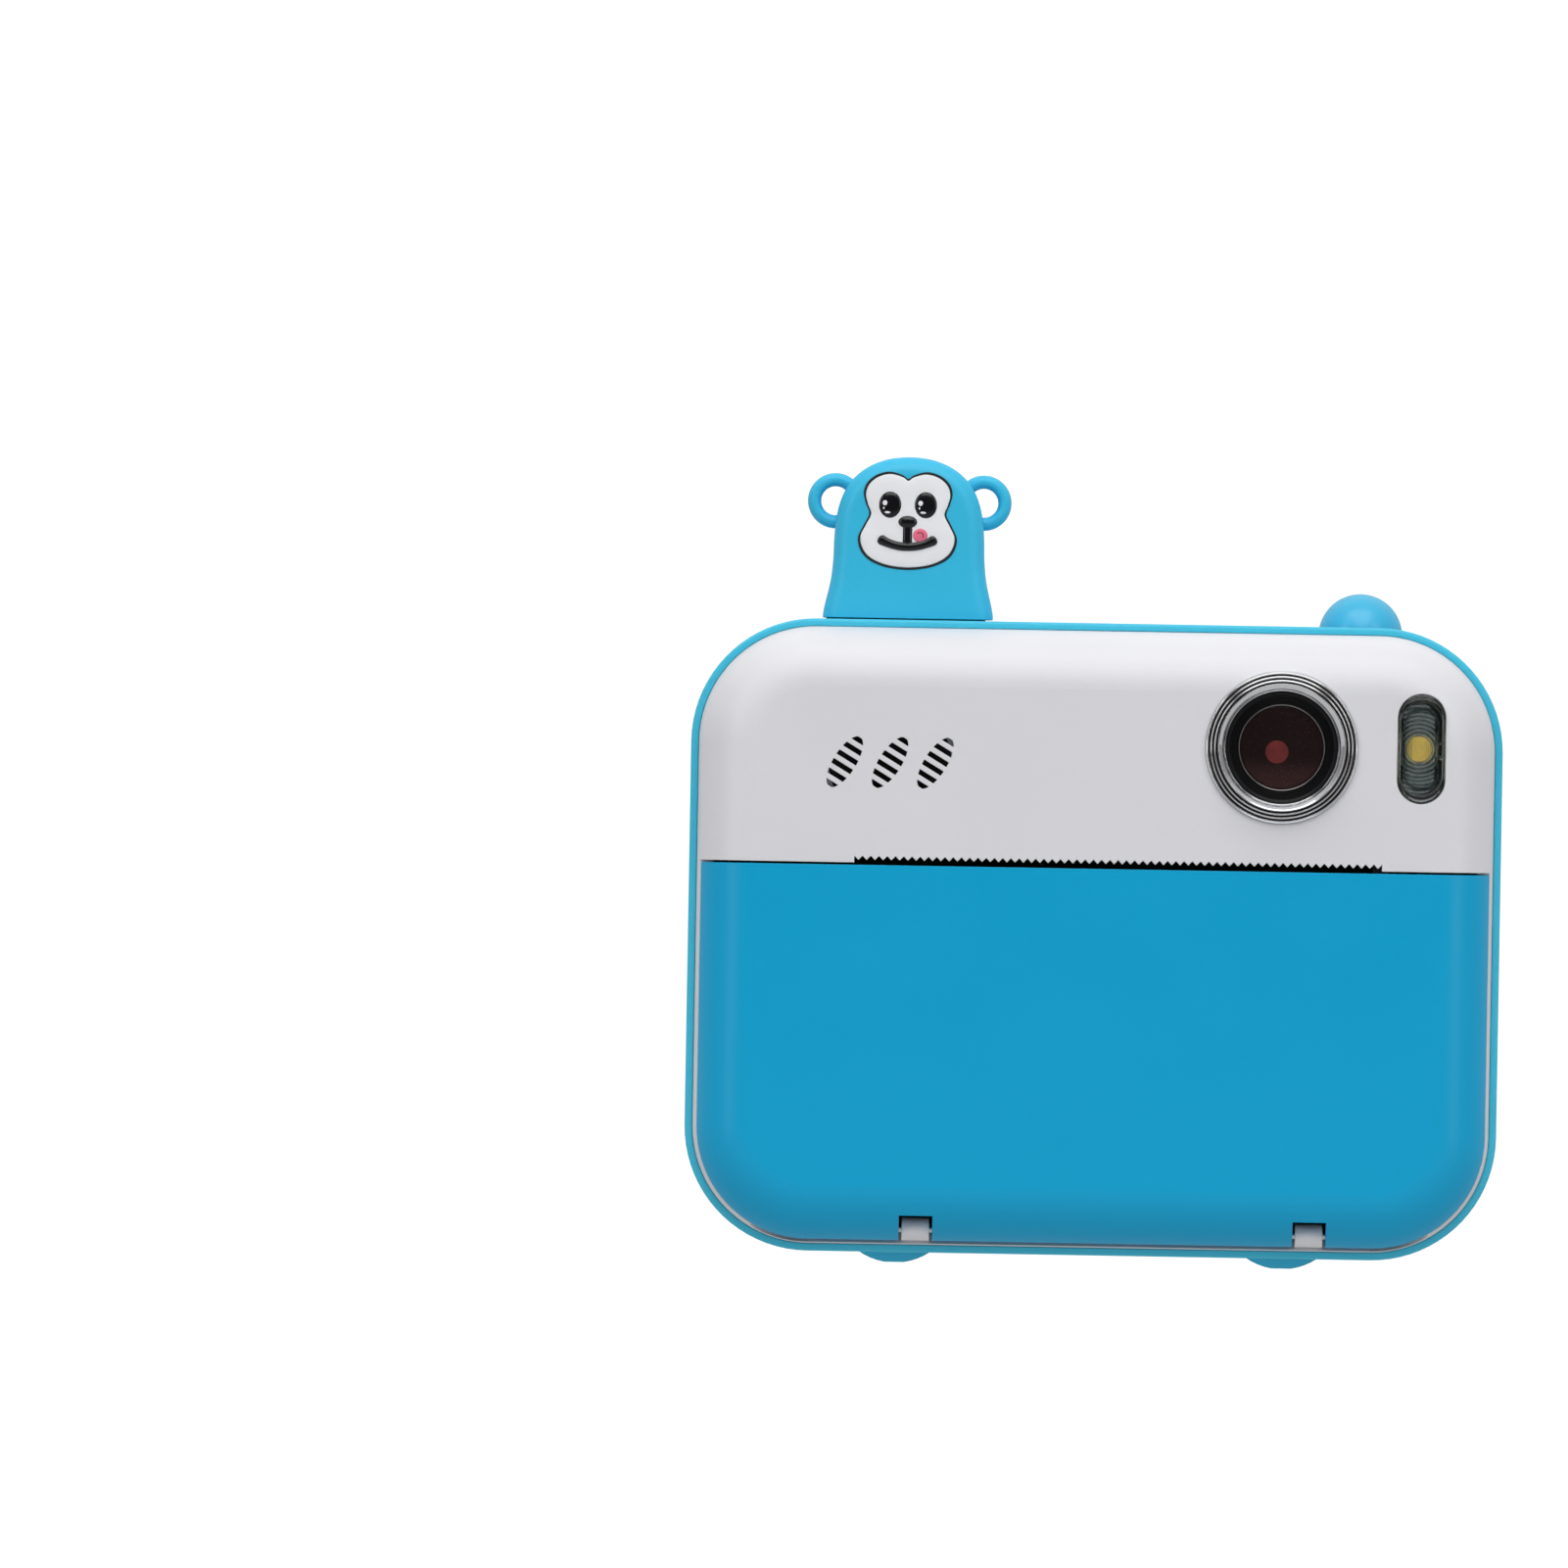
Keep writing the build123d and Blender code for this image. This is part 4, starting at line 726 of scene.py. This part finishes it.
def board_finish(name, mask_colour, trace_colour):
    """A circuit board: solder mask over copper traces, from brick lines, with round tinned pads from a cell
    pattern."""
    mat, tree, bsdf = new_material(name)
    lines = tree.nodes.new("ShaderNodeTexBrick")
    feed(tree, lines, Vector=mapped(tree, Rotation=(math.radians(90), 0, 0)), Scale=260.0, Mortar_Size=0.06,
         Brick_Width=2.1, Row_Height=0.4, Color1=(0, 0, 0), Color2=(0.25, 0.25, 0.25), Mortar=(1, 1, 1))
    cells = feed(tree, tree.nodes.new("ShaderNodeTexVoronoi"), Vector=here(tree), Scale=420.0)
    pads = math_node(tree, "LESS_THAN", cells.outputs["Distance"], 0.16)
    sparse = math_node(tree, "GREATER_THAN", noise(tree, 60.0), 0.52)
    pads = math_node(tree, "MULTIPLY", pads, sparse)
    traces = mixed(tree, lines.outputs["Color"], mask_colour, trace_colour)
    base = mixed(tree, pads, traces, (0.62, 0.60, 0.55))
    rough, relief = spread(tree, noise(tree, 300.0), 0.28, 0.4), bumped(tree, lines.outputs["Color"], 0.00004)
    feed(tree, bsdf, Base_Color=base, Metallic=pads, Roughness=rough, Normal=relief)
    return mat


board_green = board_finish("board_green", (0.012, 0.13, 0.05), (0.03, 0.24, 0.10))
dress(board_green, "shutter_board", "camera_board", "main_board")
chip_black = moulded("chip_black", (0.02, 0.02, 0.022), 0.55, 6000.0, 0.00002, 0.00008, 0.05)
dress(chip_black, "shutter_switch", "board_chips", "key_switches", "reset_switch")


def drawn_metal(name, colour, roughness, axis="x", **sockets):
    """Drawn or ground metal: fine lines that run round the axis, from a noise stretched across it."""
    mat, tree, bsdf = new_material(name, Metallic=1.0, **sockets)
    stretch = {"x": (1.0, 0.03, 0.03), "y": (0.03, 1.0, 0.03), "z": (0.03, 0.03, 1.0)}[axis]
    lines = noise(tree, 6000.0, 3.0, 0.6, mapped(tree, Scale=stretch))
    base = toned(tree, colour, spread(tree, lines, 0.88, 1.06))
    feed(tree, bsdf, Base_Color=base, Roughness=spread(tree, lines, roughness * 0.7, roughness * 1.3))
    return mat


steel = drawn_metal("steel", (0.62, 0.63, 0.65), 0.24)
dress(steel, "hinge_pins", "head_springs", "platen_shaft", "idler_axle", "head_pivot_pin")
dress(steel, "usb_socket", "card_socket")

# The spring has closed end turns. It stands on the board and shortens as the button goes down.
spring_low, spring_high = [np.array(corner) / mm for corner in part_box("shutter_spring")]
spring_x, spring_y = (spring_low[:2] + spring_high[:2]) / 2
wire_r, spring_turns = 0.25, 5.5
spring_r = (spring_high[0] - spring_low[0]) / 2 - wire_r
spring_rise = spring_high[2] - spring_low[2] - 2 * wire_r
wound = np.linspace(0, 1, 320)
wound = np.concatenate([wound[:1], wound, wound[-1:]])[:, None]
climb = np.clip((wound * spring_turns - 0.75) / (spring_turns - 1.5), 0, 1)
wire = np.full_like(wound, wire_r)
wire[[0, -1]] = 0.0
round_axis = 2 * np.pi * spring_turns * wound
round_wire = np.linspace(0, 2 * np.pi, 12, endpoint=False)[None, :]
from_axis = spring_r + wire * np.cos(round_wire)
spring_z = spring_low[2] + wire_r + spring_rise * climb + wire * np.sin(round_wire)
spring_points = [spring_x + from_axis * np.cos(round_axis), spring_y + from_axis * np.sin(round_axis), spring_z]
spring_mesh = grid_mesh("press_spring", np.stack(spring_points, axis=-1), close_v=True)
press_spring = add_piece("press_spring", spring_mesh, "camera_body", steel, crease=60)
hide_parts("shutter_spring")
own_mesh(press_spring)

# ------------------------ paper door
# The door is a satin blue ABS moulding that swings down on two steel pins in the shell's posts.
# It carries the rubber platen roller in two arms with acetal bushes.
door_blue = moulded(
    "door_blue", (0.004, 0.39, 0.69), 0.34, 4200.0, 0.000007, 0.00016, 0.01, Specular_IOR_Level=0.26)
dress(door_blue, "paper_door")
bush_acetal = moulded("bush_acetal", (0.75, 0.75, 0.72), 0.35, 3000.0, 0.00001, 0.0001, 0.03)
dress(bush_acetal, "platen_bushes")
gear_white = moulded("gear_white", (0.78, 0.78, 0.75), 0.38, 3500.0, 0.00001, 0.00008, 0.04)
dress(gear_white, "platen_gear", "idler_gear")
dress(drawn_metal("pinion_brass", (0.80, 0.60, 0.26), 0.26), "motor_pinion")
roller_rubber = moulded("roller_rubber", (0.022, 0.022, 0.023), 0.62, 2600.0, 0.00002, 0.00012, 0.06)
dress(roller_rubber, "platen_rubber")

# ------------------------ printer
# A dark tray behind the door holds the paper roll in a cradle and the print head in a frame.
# The tray is screwed to the front shell; the head is sprung against the roller.
dress(moulded("bay_plastic", (0.045, 0.045, 0.048), 0.5, 2200.0, 0.00003, 0.0002, 0.06), "paper_bay")
dress(drawn_metal("heat_sink", (0.66, 0.67, 0.69), 0.34, "z"), "heat_sink")
dress(moulded("ceramic_strip", (0.80, 0.79, 0.74), 0.28, 3000.0, 0.000006, 0.00008, 0.03), "thermal_head")

# ------------------------ paper roll
# A 57 mm roll of thermal paper is wound on a card core, with its turns showing as rings on both ends.
# It lies loose in the cradle between two cheeks.
roll_y, roll_z = -5.5, 27.0


def wound_paper(name, colour, turns):
    """Paper wound on a core along X: fibres all over, and rings by the distance from the axis on the end faces."""
    mat, tree, bsdf = new_material(name, Specular_IOR_Level=0.3)
    parts = split(tree, mapped(tree, Location=(0, -roll_y * mm, -roll_z * mm)))
    wave = math_node(tree, "SINE", math_node(tree, "MULTIPLY", from_axis_node(tree, parts["Y"], parts["Z"]), turns))
    facing = split(tree, tree.nodes.new("ShaderNodeNewGeometry").outputs["Normal"])
    end_face = math_node(tree, "GREATER_THAN", math_node(tree, "ABSOLUTE", facing["X"]), 0.9)
    ring = math_node(tree, "MULTIPLY", wave, end_face)
    fibre = noise(tree, 2500.0, 4.0)
    shade = math_node(tree, "ADD", spread(tree, ring, 0.86, 1.04, -1.0, 1.0), spread(tree, fibre, -0.02, 0.02))
    relief = bumped(tree, math_node(tree, "ADD", ring, fibre), 0.00004)
    rough = spread(tree, fibre, 0.5, 0.62)
    feed(tree, bsdf, Base_Color=toned(tree, colour, shade), Roughness=rough, Normal=relief)
    return mat


dress(wound_paper("thermal_paper", (0.86, 0.86, 0.83), 2 * math.pi / 0.00035), "paper_roll")
dress(fibrous("core_card", (0.50, 0.36, 0.22), 0.75, 900.0, 0.00005), "roll_core")

# ------------------------ battery
# A flat lithium pouch in crinkled silver foil is taped in front of the main board at the left.
foil, foil_tree, foil_bsdf = new_material("pouch_foil", Metallic=1.0)
crinkle = noise(foil_tree, 260.0, 5.0, 0.6, distortion=0.6)
foil_colour = toned(foil_tree, (0.72, 0.72, 0.74), spread(foil_tree, crinkle, 0.85, 1.05))
foil_rough, foil_relief = spread(foil_tree, crinkle, 0.38, 0.24), bumped(foil_tree, crinkle, 0.0003)
feed(foil_tree, foil_bsdf, Base_Color=foil_colour, Roughness=foil_rough, Normal=foil_relief)
dress(foil, "battery")

# ------------------------ screen
# A dark display lies under a clear acrylic window glued into the rear shell.
# The window is printed black from behind, all but the picture area.
screen_x, screen_z = 13.0, 53.0
screen_glass, screen_tree, screen_bsdf = new_material(
    "screen_glass", Base_Color=(0.93, 0.94, 0.95), IOR=1.49, Transmission_Weight=1.0)
feed(screen_tree, screen_bsdf, Roughness=spread(screen_tree, noise(screen_tree, 120.0, 4.0), 0.0, 0.06))
dress(screen_glass, "screen_window")
lcd_dark, lcd_tree, lcd_bsdf = new_material("lcd_dark", Coat_Weight=0.4)
sheen = toned(lcd_tree, (0.010, 0.012, 0.018), spread(lcd_tree, noise(lcd_tree, 30.0, 2.0), 0.8, 1.2))
lcd_rough = spread(lcd_tree, noise(lcd_tree, 4000.0), 0.2, 0.3)
feed(lcd_tree, lcd_bsdf, Base_Color=sheen, Roughness=lcd_rough)
dress(lcd_dark, "lcd_panel")


def rounded_box_outline(half_w, half_h, radius, steps=10):
    """The outline of a rectangle with round corners in X and Z, walked clockwise from the upper right."""
    out = []
    for cx, cz, start in ((1, 1, 90), (1, -1, 0), (-1, -1, -90), (-1, 1, -180)):
        t = np.radians(np.linspace(start, start - 90, steps))
        x, z = cx * (half_w - radius) + radius * np.cos(t), cz * (half_h - radius) + radius * np.sin(t)
        out.append(np.stack([x, z], axis=-1))
    return np.concatenate(out)


def band(name, outer, inner, y0, y1, centre):
    """A flat frame between two outlines with the same number of points, from one place in Y to another."""
    rows = [(outer, y0), (outer, y1), (inner, y1), (inner, y0), (outer, y0)]
    grid = [np.stack([o[:, 0] + centre[0], np.full(len(o), y), o[:, 1] + centre[1]], axis=-1) for o, y in rows]
    return grid_mesh(name, np.array(grid), close_v=True)


print_black = moulded("print_black", (0.008, 0.008, 0.009), 0.4, 5000.0, 0.000004)
window_edge, picture_edge = rounded_box_outline(30.6, 23.1, 2.7), rounded_box_outline(25.6, 19.3, 0.6)
mask_mesh = band("screen_mask", window_edge, picture_edge, 22.42, 22.5, (screen_x, screen_z))
add_piece("screen_mask", mask_mesh, "camera_body", print_black, smooth=False)

# ------------------------ keys
# Seven blue caps stand out of the rear shell, each with a moulded sign filled in white.
# Each cap is loose in its hole and sits on a dome switch.
key_plastic = moulded("key_plastic", (0.035, 0.44, 0.70), 0.32, 4000.0, 0.000008, 0.0003, 0.015)
key_names = ("ok", "up", "down", "left", "right", "power", "menu")
dress(key_plastic, *[f"key_{name}" for name in key_names])
sign_white = moulded("sign_white", (0.82, 0.82, 0.84), 0.4, 4000.0, 0.000005)


sign_low, sign_high = 24.62, 24.74
ring_x, ring_z, ring_reach = -36, 45, 9.6
power_x, menu_x, top_keys_z = -28, -44, 70


def sign_strokes(shapes, half_w=0.22):
    """Raised signs on the key tops, which face +Y: each stroke is a path of points in X and Z."""
    paths = [smooth_path(path, 8) if len(path) > 2 else np.linspace(path[0], path[1], 12) for path in shapes]
    return [stroke("sign", path, half_w, sign_low, sign_high) for path in paths]


def arrow(x, z, angle, size=1.15):
    """A chevron in two strokes, turned by an angle from pointing up."""
    c, s = math.cos(math.radians(angle)), math.sin(math.radians(angle))
    ends = ((-size, -0.45 * size), (0, 0.55 * size), (size, -0.45 * size))
    left, tip, right = [(x + u * c - v * s, z + u * s + v * c) for u, v in ends]
    return [[left, tip], [tip, right]]


for key, dx, dz, angle in (("up", 0, 1, 0), ("down", 0, -1, 180), ("left", 1, 0, -90), ("right", -1, 0, 90)):
    chevron = sign_strokes(arrow(ring_x + dx * ring_reach, ring_z + dz * ring_reach, angle))
    add_piece(f"sign_{key}", joined(f"sign_{key}", chevron), f"key_{key}_cap", sign_white)
ok_ring = band("sign_ok", oval(1.7, 1.7), oval(1.25, 1.25), 24.6, 24.72, (ring_x, ring_z))
add_piece("sign_ok", ok_ring, "key_ok_cap", sign_white)
gap = np.radians(np.linspace(130, 410, 30))
power_path = np.stack([power_x + 1.15 * np.cos(gap), top_keys_z + 1.15 * np.sin(gap)], axis=-1)
power_bar = sign_strokes([[(power_x, top_keys_z + 0.2), (power_x, top_keys_z + 1.5)]], 0.2)
power_meshes = [stroke("sign", power_path, 0.2, sign_low, sign_high)] + power_bar
add_piece("sign_power", joined("sign_power", power_meshes), "key_power_cap", sign_white)
menu_bars = [[(menu_x - 1.1, top_keys_z + dz), (menu_x + 1.1, top_keys_z + dz)] for dz in (-0.75, 0, 0.75)]
menu_mesh = joined("sign_menu", sign_strokes(menu_bars, 0.18))
add_piece("sign_menu", menu_mesh, "key_menu_cap", sign_white)

# ------------------------ studio
# A wide white floor, soft lamps at both sides, above and in front, and the camera.
# The floor and the sky look pure white to the camera but give the object less light than that.

def seen_and_given(tree, seen, given):
    """A strength that is one value for what the camera sees directly and another for the light given."""
    ray = tree.nodes.new("ShaderNodeLightPath").outputs["Is Camera Ray"]
    scaled = math_node(tree, "MULTIPLY", ray, seen)
    rest = math_node(tree, "MULTIPLY", math_node(tree, "SUBTRACT", 1.0, ray), given)
    return math_node(tree, "ADD", scaled, rest)


floor_mat, floor_tree, floor_bsdf = new_material(
    "pale_floor", Base_Color=(0.0, 0.0, 0.0), Emission_Color=(1.0, 1.0, 1.0), Roughness=0.8, Specular_IOR_Level=0.0)
near = spread(floor_tree, split(floor_tree, here(floor_tree))["Y"], 0.03, 0.54, -0.75, -0.2)
below = floor_tree.nodes.new("ShaderNodeNewGeometry").outputs["Backfacing"]
feed(floor_tree, floor_bsdf, Emission_Strength=seen_and_given(floor_tree, 1.1, near))
feed(floor_tree, floor_bsdf, Alpha=math_node(floor_tree, "SUBTRACT", 1.0, below))
reach = np.linspace(-6000, 6000, 9)
floor_x, floor_y = np.meshgrid(reach, reach, indexing="ij")
floor_mesh = grid_mesh("floor", np.stack([floor_x, floor_y, np.full_like(floor_x, -0.05)], axis=-1))
if floor_mesh.polygons[0].normal.z < 0:
    floor_mesh.flip_normals()
floor_mesh.materials.append(floor_mat)
floor = bpy.data.objects.new("floor", floor_mesh)
bpy.context.scene.collection.objects.link(floor)


def soft_lamp(name, place, aim, width, height, power):
    """A rectangular area lamp at a place, turned to face a point."""
    lamp = bpy.data.lights.new(name, "AREA")
    lamp.shape = "RECTANGLE"
    lamp.size, lamp.size_y, lamp.energy = width, height, power
    obj = bpy.data.objects.new(name, lamp)
    bpy.context.scene.collection.objects.link(obj)
    obj.location = place
    obj.rotation_euler = (Vector(aim) - Vector(place)).to_track_quat("-Z", "Y").to_euler()
    return obj


part_middle = (0, 0, 0.06)
soft_lamp("left_box", (-1.0, -0.95, 0.45), part_middle, 0.30, 1.0, 3.3)
soft_lamp("right_box", (1.0, -0.95, 0.45), part_middle, 0.30, 1.0, 3.3)
soft_lamp("top_box", (0, -0.42, 0.85), part_middle, 1.0, 0.5, 3.75)
soft_lamp("front_box", (0.1, -1.5, 1.1), part_middle, 1.2, 0.6, 5.55)
world = bpy.data.worlds.new("studio")
bpy.context.scene.world = world
world.use_nodes = True
sky = world.node_tree
back_light = sky.nodes["Background"]
direction = split(sky, sky.nodes.new("ShaderNodeTexCoord").outputs["Generated"])
behind = spread(sky, direction["Y"], 0.04, 0.62, -0.55, 0.5)
above = spread(sky, direction["Z"], 0.0, 0.40, 0.38, 0.85)
dim = math_node(sky, "ADD", behind, above)
feed(sky, back_light, Strength=seen_and_given(sky, 1.1, dim), Color=(1, 1, 1))

camera_data = bpy.data.cameras.new("camera")
camera = bpy.data.objects.new("camera", camera_data)
bpy.context.scene.collection.objects.link(camera)
bpy.context.scene.camera = camera
distance, view_width = 3.2, 0.24015
camera_data.sensor_width = 36.0
camera_data.lens = camera_data.sensor_width * distance / view_width
camera.location = (-0.0477, -distance - 0.005, 0.0728)
camera.rotation_euler = (math.radians(90), math.radians(-1.0), 0)
bpy.context.scene.view_settings.view_transform = "Standard"
